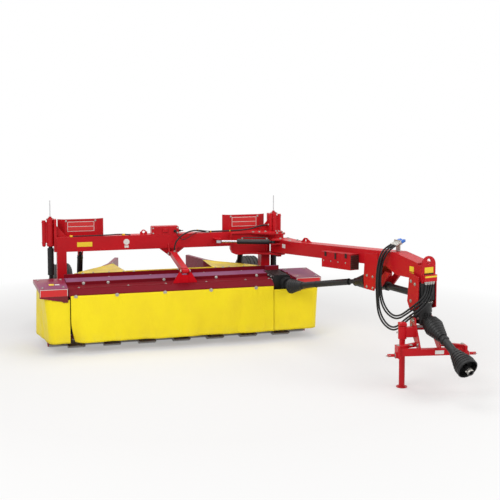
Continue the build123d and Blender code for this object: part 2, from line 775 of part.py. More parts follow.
def drawbar():
    """Box beam with its bush, nose, front plate, cheeks, lifting plate and hose post."""
    half = bar_width / 2
    outline = [(-bar_start, bar_height_at(bar_start)), (-bend_at, bar_height_at(bend_at)), (-nose_at, nose_top)]
    outline += [(-nose_at, nose_bottom), (-throat_at - 170, nose_bottom - 6)]
    outline += [(-throat_at, bar_height_at(throat_at) - bar_height), (-bar_start, bar_height_at(bar_start) - bar_height)]
    body = along_x(outline, -half, half)
    body += rod((0, 0, plate_bottom + plate_sheet + seat_gap), (0, 0, plate_top - plate_sheet - seat_gap), pivot_pin + 25)
    top = bar_height_at(0)
    body += block(-half - 6, half + 6, -420, -bar_start - 120, top + 4, top + 30)
    lift = [(-520, bar_height_at(520) - 10), (-610, bar_height_at(610) + 52), (-660, bar_height_at(660) + 52)]
    lift += [(-790, bar_height_at(790) - 10)]
    body += along_x(lift, -6, 6) - rod((-7, -640, bar_height_at(640) + 22), (7, -640, bar_height_at(640) + 22), 18)
    body += steer_lug()
    nose = block(-nose_plate_width / 2, nose_plate_width / 2, -nose_plate_at, -nose_plate_at + nose_plate_sheet,
                 nose_plate_bottom, nose_plate_top - nose_plate_width / 2)
    crown = (0, -nose_plate_at, nose_plate_top - nose_plate_width / 2)
    crown_back = (0, -nose_plate_at + nose_plate_sheet, crown[2])
    nose += rod(crown, crown_back, nose_plate_width / 2)
    nose -= rod((0, -nose_plate_at - 1, crown[2] + 28), (0, -nose_plate_at + nose_plate_sheet + 1, crown[2] + 28), nose_hole)
    body += nose
    body += block(-half, half, -nose_plate_at + nose_plate_sheet, -nose_at, nose_bottom, nose_top - 20)
    for ear in (-1, 1):
        x = ear * cheek_offset
        cheek = [(-swivel_at - cheek_front, cheek_bottom + 40), (-swivel_at - cheek_front, nose_bottom + 30)]
        cheek += [(-swivel_at + cheek_depth / 2 - 30, nose_bottom + 60), (-swivel_at + cheek_depth / 2, cheek_bottom + 90)]
        cheek += [(-swivel_at + cheek_depth / 2 - 50, cheek_bottom)]
        body += along_x(cheek, x - cheek_sheet / 2, x + cheek_sheet / 2)
    body += block(-cheek_offset, cheek_offset, -swivel_at - 60, -swivel_at + 60, nose_bottom - 20, nose_bottom + 4)
    body += block(-rack_half, rack_half, -nose_plate_at - rack_depth, -nose_plate_at, rack_bottom, rack_bottom + rack_height)
    body += rod((0, 0, plate_bottom - 25), (0, 0, plate_top + 18), pivot_pin)
    body += rod((0, 0, plate_top + seat_gap), (0, 0, plate_top + 18), pivot_pin + 15)
    return drawbar_place * body


def steer_lug():
    """Ears on the drawbar's right side for the steering cylinder."""
    half = bar_width / 2
    body = None
    for level in (-30, 18):
        plan = [(-half + 1, -steer_lug_at + 60), (steer_lug_side - 22, -steer_lug_at + 18)]
        plan += [(steer_lug_side - 22, -steer_lug_at - 18), (-half + 1, -steer_lug_at - 70)]
        ear = along_z(plan, steer_z + level, steer_z + level + 12)
        body = ear if body is None else body + ear
    pin_low = (steer_lug_side, -steer_lug_at, steer_z - 40)
    return body + rod(pin_low, (steer_lug_side, -steer_lug_at, steer_z + 40), steer_pin)


def tool_box():
    """Box hung on the drawbar's right side, with its sloping lid."""
    half = bar_width / 2
    start, end = tool_start, tool_start + tool_length
    low = [bar_height_at(d) - bar_height - tool_drop for d in (start, end)]
    high = [z + tool_height for z in low]
    body = along_x([(-start, low[0]), (-start, high[0]), (-end, high[1]), (-end, low[1])], -half - tool_width, -half)
    lid = [(-start + 6, high[0]), (-start + 6, high[0] + 6), (-end - 6, high[1] + 6), (-end - 6, high[1])]
    body += along_x(lid, -half - tool_width - 6, -half)
    return drawbar_place * body


def bearing_bracket():
    """Two plates under the drawbar with the bearing of the drive line between them."""
    half = bar_width / 2
    start, end = bracket_start, bracket_start + bracket_length
    body = None
    for ear in (-1, 1):
        x = ear * (half + bracket_sheet / 2)
        outline = [(-start - 20, bar_height_at(start) - 40), (-end, bar_height_at(end) - 30), (-end - 10, bearing_height + 60)]
        outline += [(-end + 60, bearing_height - 62), (-start - 10, bearing_height - 62), (-start, bearing_height + 40)]
        plate = along_x(outline, x - bracket_sheet / 2, x + bracket_sheet / 2)
        body = plate if body is None else body + plate
    body += rod((0, -start, bearing_height), (0, -end + 20, bearing_height), bearing_radius)
    body += block(-half, half, -start - 120, -start - 100, bearing_height - 50, bearing_height + 50)
    body += Pos(0, -joint_front, bearing_height) * Rot(0, 0, 180) * fork()
    strut = [(-end - 10, bearing_height - 40), (-end - 200, nose_bottom - 6), (-end - 110, nose_bottom - 2)]
    strut += [(-end + 40, bearing_height + 10)]
    for ear in (-1, 1):
        x = ear * (half - 10)
        body += along_x(strut, x - 10, x + 10)
    return drawbar_place * body


def upper_gearbox():
    """Fixed half of the swivel gearbox, between the drawbar's cheeks, with the shaft that comes to it."""
    body = rod((0, 0, upper_bottom), (0, 0, upper_top), upper_radius)
    body += rod((0, 0, upper_bottom + 60), (0, 0, upper_bottom + 78), upper_radius + 8)
    body += rod((0, 0, upper_top - 22), (0, 0, upper_top - 6), upper_radius + 8)
    inner = cheek_offset - cheek_sheet / 2 - 0.3
    body += block(-inner, inner, -60, 60, upper_bottom + 90, upper_top - 40)
    body &= block(-inner, inner, -upper_radius - 20, upper_radius + 20, upper_bottom, upper_top + 8)
    body += rod((0, 0, upper_bottom), (0, 0, lower_top - 60), swivel_pin)
    start = swivel_at - (bracket_start + bracket_length - 20) - seat_gap
    body += rod((0, start, bearing_height), (0, upper_radius - 20, bearing_height), tube_radius)
    for near in (start, upper_radius + 85):
        body += rod((0, near, bearing_height), (0, near - 90, bearing_height), tube_radius + 12)
    return drawbar_place * Pos(0, -swivel_at, 0) * body


hitch_place = Pos(*(drawbar_place * Pos(0, -swivel_at, 0)).position) * Rot(0, 0, hitch_turn)


def lower_gearbox():
    """Turning half of the swivel gearbox with its input neck."""
    body = rod((0, 0, lower_bottom), (0, 0, lower_top), lower_radius)
    body += rod((0, 0, lower_top - 18), (0, 0, lower_top), lower_radius + 8)
    body += rod((0, 0, lower_bottom + 22), point_on((0, 0, lower_bottom + 22), input_from, 118), 52)
    body += rod((0, 0, lower_bottom + 22), point_on((0, 0, lower_bottom + 22), input_from, 138), stub_radius)
    inner = side_plate_offset - side_plate_sheet / 2 - 0.3
    body &= block(-inner, inner, -200, 200, lower_bottom - 40, lower_top)
    body -= rod((0, 0, lower_top - 62), (0, 0, lower_top + 1), swivel_pin + running_fit)
    return hitch_place * body


def hitch_frame():
    """Side plates, arms and cross bar with the pins for the lower links, and the jack's sleeve."""
    body = None
    for ear in (-1, 1):
        x = ear * side_plate_offset
        plate = [(70, side_plate_top), (-95, side_plate_top), (-120, side_plate_top - 50)]
        plate += [(bar_forward + 10, cross_bottom + bar_tall)]
        plate += [(bar_forward + 60, cross_bottom), (60, 530)]
        piece = along_x(plate, x - side_plate_sheet / 2, x + side_plate_sheet / 2)
        arm = [(x, -140), (ear * (cross_half - 10), bar_forward + 20), (ear * (cross_half - 10), bar_forward - 20)]
        arm += [(x, -200)]
        piece += along_z(arm, cross_bottom + 60, cross_bottom + 90)
        body = piece if body is None else body + piece
    body += block(-side_plate_offset, side_plate_offset, -60, 70, lower_bottom - 60, lower_bottom - 40.5)
    body += block(-cross_half, cross_half, bar_forward - bar_depth / 2, bar_forward + bar_depth / 2, cross_bottom,
                  cross_bottom + bar_tall)
    for ear in (-1, 1):
        x = ear * cross_half
        body += block(min(x, x - ear * 22), max(x, x - ear * 22), bar_forward - 60, bar_forward + 60, cross_bottom - 14,
                      cross_bottom + 91)
        body += rod((x, bar_forward - 25, cross_bottom + 12), (x + ear * 18, bar_forward - 25, cross_bottom + 12), hook_radius - 8)
        tip = x + ear * (18 + draft_pin_length)
        body += rod((x, bar_forward - 25, cross_bottom + 12), (tip, bar_forward - 25, cross_bottom + 12), draft_pin)
    sleeve = rod((jack_x, jack_y, sleeve_bottom), (jack_x, jack_y, sleeve_top), sleeve_radius)
    body += sleeve + block(jack_x + 20, -side_plate_offset, jack_y - 25, jack_y + 25, sleeve_bottom + 15, sleeve_top - 10)
    body -= rod((jack_x, jack_y, sleeve_bottom - 1), (jack_x, jack_y, sleeve_top + 1), jack_radius + jack_fit)
    body -= rod(point_on(input_from, input_to, -20), point_on(input_from, input_to, 260), 96)
    return hitch_place * body


def jack_leg():
    """Jack tube with its foot plate and setting holes."""
    body = rod((jack_x, jack_y, foot_sheet), (jack_x, jack_y, sleeve_top + 4), jack_radius)
    body += rod((jack_x, jack_y, 0), (jack_x, jack_y, foot_sheet), foot_radius)
    body -= rod((jack_x, jack_y, foot_sheet + 10), (jack_x, jack_y, sleeve_top + 5), jack_radius - 5)
    for z in (170, 240, 310, 380):
        body -= rod((jack_x - 40, jack_y, z), (jack_x + 40, jack_y, z), 8)
    return hitch_place * body


def input_shaft():
    """Guarded input shaft hanging from the lower gearbox, with its bells and yoke."""
    start, end = input_from, input_to
    reach = (Vector(*end) - Vector(*start)).length
    body = cone(point_on(start, end, -5), point_on(start, end, 60), 78, 90)
    body += cone(point_on(start, end, 60), point_on(start, end, 215), 90, 48)
    body -= cone(point_on(start, end, -6), point_on(start, end, 70), 73, 80)
    body += rod(point_on(start, end, 50), point_on(start, end, reach - end_bell_length + 30), 38)
    guard = cone(point_on(start, end, reach - end_bell_length), point_on(start, end, reach - 60), 50, end_bell_radius)
    guard += rod(point_on(start, end, reach - 61), end, end_bell_radius)
    guard -= rod(point_on(start, end, reach - 70), point_on(start, end, reach + 1), end_bell_radius - 6)
    body += guard
    shaft = rod(point_on(start, end, reach - end_bell_length), point_on(start, end, reach - 20), 24)
    yoke = rod(point_on(start, end, reach - 30), point_on(start, end, reach + yoke_length - 30), yoke_radius)
    yoke -= rod(point_on(start, end, reach - 30 + 4), point_on(start, end, reach + yoke_length), yoke_bore)
    return hitch_place * (body + shaft + yoke)


def steer_barrel_points():
    """Barrel eye on the drawbar and rod eye on the beam."""
    barrel_eye = tuple((drawbar_place * Pos(steer_lug_side, -steer_lug_at, steer_z)).position)
    return barrel_eye, (steer_x, steer_y, steer_z)


def steering_barrel():
    """Barrel of the cylinder that swings the drawbar."""
    eye, far = steer_barrel_points()
    body = rod((*eye[:2], steer_z - 15), (*eye[:2], steer_z + 15), 30)
    body += rod(eye, point_on(eye, far, 60), 14)
    body += rod(point_on(eye, far, 45), point_on(eye, far, steer_length), steer_barrel)
    body -= rod(point_on(eye, far, 80), point_on(eye, far, steer_length + 1), steer_rod + running_fit)
    body -= rod((*eye[:2], steer_z - 40), (*eye[:2], steer_z + 40), steer_pin + running_fit)
    return body


def steering_rod():
    """Rod of the same cylinder with its eye at the beam."""
    eye, far = steer_barrel_points()
    body = rod(point_on(far, eye, steer_eye - 4), point_on(eye, far, 250), steer_rod)
    body += rod((*far[:2], steer_z - 15), (*far[:2], steer_z + 15), steer_eye)
    return body - rod((*far[:2], steer_z - 40), (*far[:2], steer_z + 40), steer_pin + steer_slack)


def wheel_arm(side):
    """Trailing arm with its bush, lug for the lift cylinder and stub axle."""
    arm_x = wheel_mid + side * (wheel_offset - arm_inset)
    half = arm_sheet / 2
    wheel_x = wheel_mid + side * wheel_offset
    outline = [(beam_y - 10, arm_pivot_z + 46), (beam_y + 20, arm_pivot_z + 46), (axle_y + 30, tyre_radius + 36)]
    outline += [(axle_y + 42, tyre_radius - 30), (axle_y - 10, tyre_radius - 42), (beam_y - 10, arm_pivot_z - 46)]
    body = along_x(outline, arm_x - half, arm_x + half)
    bush = arm_sheet * 0.7
    body += rod((arm_x - bush, beam_y, arm_pivot_z), (arm_x + bush, beam_y, arm_pivot_z), arm_bush)
    lug = [(lift_lug_y - 60, lift_lug_z - 40), (lift_lug_y - 20, lift_lug_z + 20), (lift_lug_y + 20, lift_lug_z + 20)]
    lug += [(lift_lug_y + 60, lift_lug_z - 46)]
    for ear in (-1, 1):
        ear_x = arm_x + ear * (half - 6)
        body += along_x(lug, ear_x - 6, ear_x + 6)
    body += rod((arm_x - half, lift_lug_y, lift_lug_z), (arm_x + half, lift_lug_y, lift_lug_z), lift_pin)
    stub_end = wheel_x + side * (hub_half - 12)
    body += rod((arm_x, axle_y, tyre_radius), (stub_end, axle_y, tyre_radius), axle_radius)
    body += rod((arm_x, axle_y, tyre_radius), (wheel_x - side * (hub_half + 6), axle_y, tyre_radius), axle_radius + 14)
    return body - rod((arm_x - bush - 1, beam_y, arm_pivot_z), (arm_x + bush + 1, beam_y, arm_pivot_z), arm_pin + running_fit)


def lift_points(side):
    """Upper and lower eye of a lift cylinder."""
    arm_x = wheel_mid + side * (wheel_offset - arm_inset)
    return (arm_x, lift_top_y, lift_top_z), (arm_x, lift_lug_y, lift_lug_z)


def lift_cylinder_barrel(side):
    """Barrel of a lift cylinder, hung from the beam."""
    top, low = lift_points(side)
    body = rod((top[0] - 14, *top[1:]), (top[0] + 14, *top[1:]), lift_eye)
    body += rod(point_on(top, low, 34), point_on(top, low, lift_length), lift_barrel)
    body += rod(top, point_on(top, low, 40), 13)
    body -= rod((top[0] - 20, *top[1:]), (top[0] + 20, *top[1:]), lift_pin + running_fit)
    return body - rod(point_on(top, low, 60), point_on(top, low, lift_length + 1), lift_rod + running_fit)


def lift_cylinder_rod(side):
    """Rod of a lift cylinder with its eye at the arm."""
    top, low = lift_points(side)
    body = rod(point_on(top, low, 75), point_on(low, top, 18), lift_rod)
    body += rod((low[0] - 14, *low[1:]), (low[0] + 14, *low[1:]), lift_eye)
    return body - rod((low[0] - 20, *low[1:]), (low[0] + 20, *low[1:]), lift_pin + rod_eye_slack)


def tyre(side):
    """Ribbed implement tyre."""
    half = tyre_width / 2
    bead = 95
    points = [(-bead, rim_radius), (-half + 12, rim_radius + 45), (-half, tyre_radius - 95), (-half + 16, tyre_radius - 32)]
    points += [(-half + 38, tyre_radius - 10)]
    rib_edges = [(-78, -48), (-34, -16), (16, 34), (48, 78)]
    for start, end in rib_edges:
        points += [(start, tyre_radius - 3), (start + 3, tyre_radius - 15), (end - 3, tyre_radius - 15), (end, tyre_radius - 3)]
        if end == -16:
            points += [(-12, tyre_radius), (12, tyre_radius)]
    points += [(half - 38, tyre_radius - 10), (half - 16, tyre_radius - 32), (half, tyre_radius - 95)]
    points += [(half - 12, rim_radius + 45), (bead, rim_radius)]
    outline = make_face(Polyline(*[(x, 0, r) for x, r in points], close=True))
    body = revolve(outline, axis=Axis.X)
    return Pos(wheel_mid + side * wheel_offset, axle_y, tyre_radius) * body


def rim(side):
    """Steel rim with its dished disc and hub."""
    edge = rim_radius - 0.3
    points = [(-114, edge + 14), (-105, edge + 14), (-95.5, edge), (95.5, edge), (105, edge + 14), (114, edge + 14)]
    points += [(108, edge - 6), (60, edge - 14), (40, edge - 40), (-60, edge - 40), (-80, edge - 14), (-108, edge - 6)]
    outline = make_face(Polyline(*[(side * x, 0, r) for x, r in points], close=True))
    body = revolve(outline, axis=Axis.X)
    dish = [(22, hub_radius - 5), (6, 120), (30, edge - 39), (38, edge - 39), (16, 120), (32, hub_radius - 5)]
    outline = make_face(Polyline(*[(side * x, 0, r) for x, r in dish], close=True))
    body += revolve(outline, axis=Axis.X)
    body += rod((-side * hub_half, 0, 0), (side * hub_half, 0, 0), hub_radius)
    body -= rod((-side * (hub_half + 1), 0, 0), (side * (hub_half - 11), 0, 0), axle_radius + running_fit)
    for spoke in range(5):
        angle = math.radians(72 * spoke + 36)
        y, z = 118 * math.cos(angle), 118 * math.sin(angle)
        body -= rod((-60, y, z), (60, y, z), 16)
    return Pos(wheel_mid + side * wheel_offset, axle_y, tyre_radius) * body


def swath_board(side):
    """Board that narrows the swath behind the discs."""
    path = [(frame_mid + x, y) for x, y in (swath_start, swath_knee, swath_end)]
    path[0] = (swath_start[0], swath_start[1])
    face = path + [(x + swath_sheet, y + 1) for x, y in reversed(path)]
    low = swath_top - swath_height
    body = along_z(face, low, swath_top)
    flange = path + [(x + swath_flange, y + 20) for x, y in reversed(path)]
    body += along_z(flange, swath_top - swath_sheet, swath_top)
    body += block(path[0][0] - 20, path[0][0] + 60, deck_back + 0.3, path[0][1] + 14, rim_height - 80, rim_height - 30)
    if side > 0:
        return body
    return Pos(2 * frame_mid, 0, 0) * mirror(body, about=Plane.YZ)


def swath_tarp(side):
    """Tarpaulin from the deck's rim back over the swath board."""
    peak = (frame_mid + swath_knee[0] - 14, swath_knee[1] - 20, swath_top + 1)
    outer = (frame_mid + 1120, deck_back - 8, rim_height + 1)
    inner = (frame_mid + 520, deck_back - 8, rim_height + 1)
    face = make_face(Polyline(outer, inner, peak, close=True))
    body = extrude(face, amount=curtain, dir=(0, 0, 1))
    if side > 0:
        return body
    return Pos(2 * frame_mid, 0, 0) * mirror(body, about=Plane.YZ)


def hose_points(number):
    """A hose's points from the rack on the nose down, back and up to the holder, in the drawbar's own frame."""
    out, low, back, top, drop, sides_low, slack, count = hose_table[number]
    start = -50 + hose_pitch * number
    far = {3: 2812, 2: 2826}.get(number, 2830)
    points = [(start, 2890, rack_bottom - 0.5), (start, 2893, drop), (-96 - out, 2896, sides_low[0])]
    points += [(-140 - out, far, sides_low[1]), (-152 - out, 2730, low + 88 + slack)]
    points += [(-144 - out, 2620, low + 25 + slack * 0.3), (-136 - out, 2510, low), (-134 - out, 2405 - back, low + 34)]
    foot, foot_height, head_height = 2335 - back, low + 128, holder_height - 122
    for step in range(count):
        share = step / count
        bow = math.sin(math.pi * share)
        height = foot_height + (head_height - foot_height) * share
        points += [(-146 - out - 14 * bow, foot - 16 * bow, height)]
    points += [(-140 - out, foot + (top - foot) * 0.25, head_height)]
    points += [(-92 - out, foot + (top - foot) * 0.75, holder_height - 40), (-20, top, holder_height)]
    return [(x, -length, z) for x, length, z in points]


def bend_radii(points):
    """A bend radius for each inner point, from its shorter run and its turn."""
    radii = []
    for before, here, after in zip(points, points[1:], points[2:]):
        first = Vector(*here) - Vector(*before)
        second = Vector(*after) - Vector(*here)
        turn = math.radians(first.get_angle(second))
        radii.append(0.45 * min(first.length, second.length) / math.tan(turn / 2))
    return radii


def cord(points, radius):
    """Round cord through its points with rounded bends."""
    radii = bend_radii(points)
    print("cord bends", min(round(r) for r in radii))
    path = FilletPolyline(*points, radius=radii)
    ring = Plane(origin=points[0], z_dir=Vector(*points[1]) - Vector(*points[0])) * Circle(radius)
    return sweep(ring, path=path)


def hose(number):
    """One hydraulic hose of the drawbar."""
    return drawbar_place * cord(hose_points(number), hose_radius)


def hose_couplings():
    """Holder on the drawbar's top with the hoses' plugs in it."""
    places = [row[3] for row in hose_table]
    foot = [(-min(places) - 10, bar_height_at(min(places) + 10) + seat_gap), (-min(places) - 10, holder_height)]
    foot += [(-max(places) + 6, holder_height), (-max(places) + 6, bar_height_at(max(places) - 6) + seat_gap)]
    body = along_x(foot, 2, 12)
    body += block(0, 14, -max(places) - 18, -min(places) + 18, holder_height - 6, holder_height + 34)
    for number in range(len(hose_table)):
        points = hose_points(number)
        end, before = points[-1], points[-2]
        body += rod(point_on(end, before, -0.2), point_on(end, before, -60), coupling_radius)
    return drawbar_place * body


def beam_hose():
    """Hose from the fitting on the centre link up over the beam's edge and along its top to the tower."""
    x, y, z = link_fitting
    points = [(x, y, z + fitting_length + 0.3), (x + 2, y - 1, z + 96), (x + 50, y + 2, z + 160), (x + 118, y + 22, z + 208)]
    points += [(232, beam_front - 29, beam_top + 32), (330, beam_front + 5, beam_top + 36)]
    points += [(430, beam_front + 23, beam_top + 18), (500, beam_front + 31, beam_top + 11)]
    points += [(600, beam_front + 35, beam_top + 13), (742, beam_front + 33, beam_top + 11)]
    points += [(900, beam_front + 38, beam_top + 16), (1040, beam_front + 41, beam_top + 31)]
    x, y, z = column_fitting
    points += [(x - 110, y + 1, z - 2), (x - fitting_length - 0.3, y, z)]
    return cord(points, hose_radius)


pieces = {
    "main_frame": main_frame(),
    "centre_link": centre_link(),
    "valve_box": valve_box(),
    "deck": deck(),
    "front_flap": front_flap(),
    "front_curtain": front_curtain(),
    "carrier": carrier(),
    "cutterbar": cutterbar(),
    "mower_gearbox": mower_gearbox(),
    "shaft_rear": shaft_rear(),
    "shaft_front": shaft_front(),
    "drawbar": drawbar(),
    "tool_box": tool_box(),
    "bearing_bracket": bearing_bracket(),
    "upper_gearbox": upper_gearbox(),
    "lower_gearbox": lower_gearbox(),
    "hitch_frame": hitch_frame(),
    "jack_leg": jack_leg(),
    "input_shaft": input_shaft(),
    "steering_barrel": steering_barrel(),
    "steering_rod": steering_rod(),
    "pivot_plate_upper": pivot_plate(plate_top - plate_sheet),
    "pivot_plate_lower": pivot_plate(plate_bottom),
    "hose_couplings": hose_couplings(),
    "beam_hose": beam_hose(),
}
for number in range(disc_count):
    pieces[f"disc_{number + 1}"] = cutting_disc(number)
for number in range(len(hose_table)):
    pieces[f"hose_{number + 1}"] = hose(number)
paired = (
    ("spring_tower", spring_tower), ("spring_strut", spring_strut), ("sign_board", sign_board), ("side_hood", side_hood),
    ("side_curtain", side_curtain), ("wheel_arm", wheel_arm), ("lift_barrel", lift_cylinder_barrel),
    ("lift_rod", lift_cylinder_rod), ("tyre", tyre), ("rim", rim), ("swath_board", swath_board), ("swath_tarp", swath_tarp),
)
for name, maker in paired:
    for word, side in sides:
        pieces[f"{name}_{word}"] = maker(side)
for name, shape in pieces.items():
    save(shape, name)
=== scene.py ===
import math

import bmesh
import bpy
from mathutils import Matrix, Vector


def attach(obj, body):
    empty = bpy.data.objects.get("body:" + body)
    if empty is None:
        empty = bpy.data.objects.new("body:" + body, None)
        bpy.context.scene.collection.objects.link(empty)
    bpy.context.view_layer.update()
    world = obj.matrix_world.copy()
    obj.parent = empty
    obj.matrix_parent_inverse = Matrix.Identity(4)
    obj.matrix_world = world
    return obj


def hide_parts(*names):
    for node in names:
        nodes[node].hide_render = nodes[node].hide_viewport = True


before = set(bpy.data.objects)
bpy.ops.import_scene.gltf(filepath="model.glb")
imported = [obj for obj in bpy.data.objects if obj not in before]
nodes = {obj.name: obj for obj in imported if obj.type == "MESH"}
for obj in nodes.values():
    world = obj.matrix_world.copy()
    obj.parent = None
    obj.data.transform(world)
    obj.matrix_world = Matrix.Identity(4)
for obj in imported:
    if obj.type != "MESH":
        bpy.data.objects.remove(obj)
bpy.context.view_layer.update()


# Camera, light and floor.
# A longish lens from the front right corner, a little above the machine,
# over a plain white studio floor with soft light from all round.
scene = bpy.context.scene
scene.view_settings.view_transform = "Standard"
camera = bpy.data.objects.new("camera", bpy.data.cameras.new("camera"))
scene.collection.objects.link(camera)
scene.camera = camera
camera.data.lens = 64.8
camera.data.sensor_width = 36
camera.data.shift_y = -0.1157
camera.data.clip_end = 200
camera.location = (-1.9034, -10.1288, 2.51)
camera.rotation_euler = (math.radians(90 - 4.5), 0, math.radians(-15.2))


def shade(tree, kind, inputs=None, **settings):
    """One shader node with its settings, its plain values and its links."""
    node = tree.nodes.new("ShaderNode" + kind)
    for key, value in settings.items():
        setattr(node, key, value)
    for key, value in (inputs or {}).items():
        if isinstance(value, bpy.types.NodeSocket):
            tree.links.new(value, node.inputs[key])
        else:
            node.inputs[key].default_value = value
    return node


def reckon(tree, operation, first, second):
    """Sum, comparison or other operation on two values."""
    return shade(tree, "Math", {0: first, 1: second}, operation=operation).outputs[0]


def background_rays(tree):
    """One where a ray comes from the camera, a reflection or glass, and zero elsewhere."""
    path = shade(tree, "LightPath").outputs
    glossy = reckon(tree, "MAXIMUM", path["Is Camera Ray"], path["Is Glossy Ray"])
    return reckon(tree, "MAXIMUM", glossy, path["Is Transmission Ray"])


def area_light(name, place, target, width, power):
    """Soft square lamp that faces a target point."""
    lamp = bpy.data.lights.new(name, "AREA")
    lamp.shape = "SQUARE"
    lamp.size = width
    lamp.energy = power
    holder = bpy.data.objects.new(name, lamp)
    holder.location = place
    holder.rotation_euler = (Vector(target) - Vector(place)).to_track_quat("-Z", "Y").to_euler()
    scene.collection.objects.link(holder)


area_light("key", (-5.5, -7.0, 6.5), (0.2, -0.5, 0.5), 5.0, 420)
area_light("fill", (6.5, -5.5, 4.5), (0.8, -0.5, 0.6), 5.0, 230)
area_light("top", (0.3, 0.8, 7.5), (0.3, -0.2, 0.3), 6.0, 260)

world = bpy.data.worlds.new("studio")
scene.world = world
world.use_nodes = True
sky = world.node_tree
sky.nodes.clear()
sky_light = shade(sky, "Background", {"Color": (1, 1, 1, 1), "Strength": 0.42}).outputs[0]
sky_seen = shade(sky, "Background", {"Color": (1, 1, 1, 1), "Strength": 1.0}).outputs[0]
sky_mix = shade(sky, "MixShader", {0: background_rays(sky), 1: sky_light, 2: sky_seen})
shade(sky, "OutputWorld", {"Surface": sky_mix.outputs[0]})

floor_reach, floor_level = 60, -0.002
floor_mesh = bpy.data.meshes.new("floor")
floor_mesh.from_pydata([(x * floor_reach, y * floor_reach, floor_level)
                        for x, y in ((-1, -1), (1, -1), (1, 1), (-1, 1))], [], [(0, 1, 2, 3)])
floor = bpy.data.objects.new("floor", floor_mesh)
scene.collection.objects.link(floor)
floor_paint = bpy.data.materials.new("studio floor")
floor_paint.use_nodes = True
tree = floor_paint.node_tree
tree.nodes.clear()
matt = shade(tree, "BsdfDiffuse", {"Color": (0.80, 0.79, 0.78, 1)}).outputs[0]
white = shade(tree, "Emission", {"Strength": 1.0}).outputs[0]
spot = shade(tree, "NewGeometry").outputs["Position"]
near = shade(tree, "Mapping", {"Vector": spot, "Location": (-0.02, 0.10, 0), "Scale": (0.19, 0.19, 0.19)})
near = shade(tree, "TexGradient", {"Vector": near.outputs[0]}, gradient_type="SPHERICAL").outputs["Fac"]
fade = shade(tree, "MapRange", {"Value": near, "From Max": 0.45, "To Min": 1.0, "To Max": 0.35}).outputs[0]
share = reckon(tree, "MULTIPLY", fade, background_rays(tree))
floor_mix = shade(tree, "MixShader", {0: share, 1: matt, 2: white})
shade(tree, "OutputMaterial", {"Surface": floor_mix.outputs[0]})
floor_mesh.materials.append(floor_paint)


# Main frame.
# Square steel beam across the machine with a leg under each end, gussets and
# pivot plates, welded together and sprayed gloss red.
up, ahead = (0, 0, 1), (0, -1, 0)


def effect(name, inputs, outputs):
    """Empty shader group with named sockets, and its two ends."""
    group = bpy.data.node_groups.new(name, "ShaderNodeTree")
    for label, value in inputs.items():
        kind = "NodeSocketColor" if isinstance(value, tuple) else "NodeSocketFloat"
        group.interface.new_socket(label, in_out="INPUT", socket_type=kind).default_value = value
    kinds = {"Colour": "NodeSocketColor", "Normal": "NodeSocketVector"}
    for label in outputs:
        group.interface.new_socket(label, in_out="OUTPUT", socket_type=kinds.get(label, "NodeSocketFloat"))
    return group, group.nodes.new("NodeGroupInput").outputs, group.nodes.new("NodeGroupOutput").inputs


def span(tree, value, low, high, start=0.0, end=1.0):
    """A value's range from low to high spread from start to end."""
    limits = {"Value": value, "From Min": low, "From Max": high, "To Min": start, "To Max": end}
    return shade(tree, "MapRange", limits).outputs[0]


def times(tree, first, *others):
    """Product of two or more values."""
    for other in others:
        first = reckon(tree, "MULTIPLY", first, other)
    return first


def blend(tree, share, first, second):
    """First colour with a share of the second over it."""
    return shade(tree, "Mix", {0: share, 6: first, 7: second}, data_type="RGBA").outputs[2]


wear_dust_and_sheen, given, result = effect("wear, dust and sheen", {
    "Colour": (0.5, 0.01, 0.015, 1), "Patch Colour": (0.4, 0.01, 0.015, 1), "Dust and Sheen Colour": (0.42, 0.36, 0.30, 1),
    "Worn Colour": (0.3, 0.28, 0.27, 1), "Dust and Sheen": 0.15, "Wear": 0.4, "Roughness": 0.35, "Roughness Spread": 0.1,
    "Grain Scale": 90.0, "Grain Height": 0.1}, ("Colour", "Roughness", "Normal"))
tree = wear_dust_and_sheen
coords = shade(tree, "TexCoord").outputs
noise = {"Vector": coords["Object"]}
patches = shade(tree, "TexNoise", {**noise, "Scale": 2.3, "Detail": 5.0}).outputs["Fac"]
grain = shade(tree, "TexNoise", {**noise, "Scale": given["Grain Scale"], "Detail": 4.0}).outputs["Fac"]
rounded = shade(tree, "Bevel", {"Radius": 0.004}, samples=4).outputs[0]
true_face = shade(tree, "NewGeometry").outputs["Normal"]
turn = shade(tree, "VectorMath", {0: rounded, 1: true_face}, operation="DOT_PRODUCT").outputs["Value"]
worn = times(tree, span(tree, turn, 0.985, 0.85), span(tree, grain, 0.42, 0.60), given["Wear"])
upward = shade(tree, "SeparateXYZ", {0: coords["Normal"]}).outputs[2]
# Upward faces take dust. On the hoods and swath boards this mask, in mauve, is a painted reflection of the sky.
dust_and_sheen = times(tree, span(tree, upward, -0.1, 1.0, 0.15, 1.0), span(tree, patches, 0.30, 0.72), given["Dust and Sheen"])
base = blend(tree, span(tree, patches, 0.35, 0.65), given["Colour"], given["Patch Colour"])
base = blend(tree, worn, base, given["Worn Colour"])
tree.links.new(blend(tree, dust_and_sheen, base, given["Dust and Sheen Colour"]), result["Colour"])
spread = times(tree, span(tree, grain, 0.3, 0.7, -1.0, 1.0), given["Roughness Spread"])
spread = reckon(tree, "ADD", spread, times(tree, dust_and_sheen, 0.5))
tree.links.new(reckon(tree, "ADD", spread, given["Roughness"]), result["Roughness"])
bumps = shade(tree, "Bump", {"Strength": given["Grain Height"], "Distance": 0.002, "Height": grain,
                             "Normal": rounded})
tree.links.new(bumps.outputs[0], result["Normal"])


def grouped_finish(name, group, values, constants):
    """Material whose colour, roughness and normal come from a shader group."""
    finish = bpy.data.materials.new(name)
    finish.use_nodes = True
    finish.diffuse_color = values["Colour"]
    tree = finish.node_tree
    tree.nodes.clear()
    seen = shade(tree, "Group", values, node_tree=group).outputs
    shader = shade(tree, "BsdfPrincipled", {"Base Color": seen["Colour"], "Roughness": seen["Roughness"],
                                            "Normal": seen["Normal"], **constants})
    shade(tree, "OutputMaterial", {"Surface": shader.outputs[0]})
    return finish


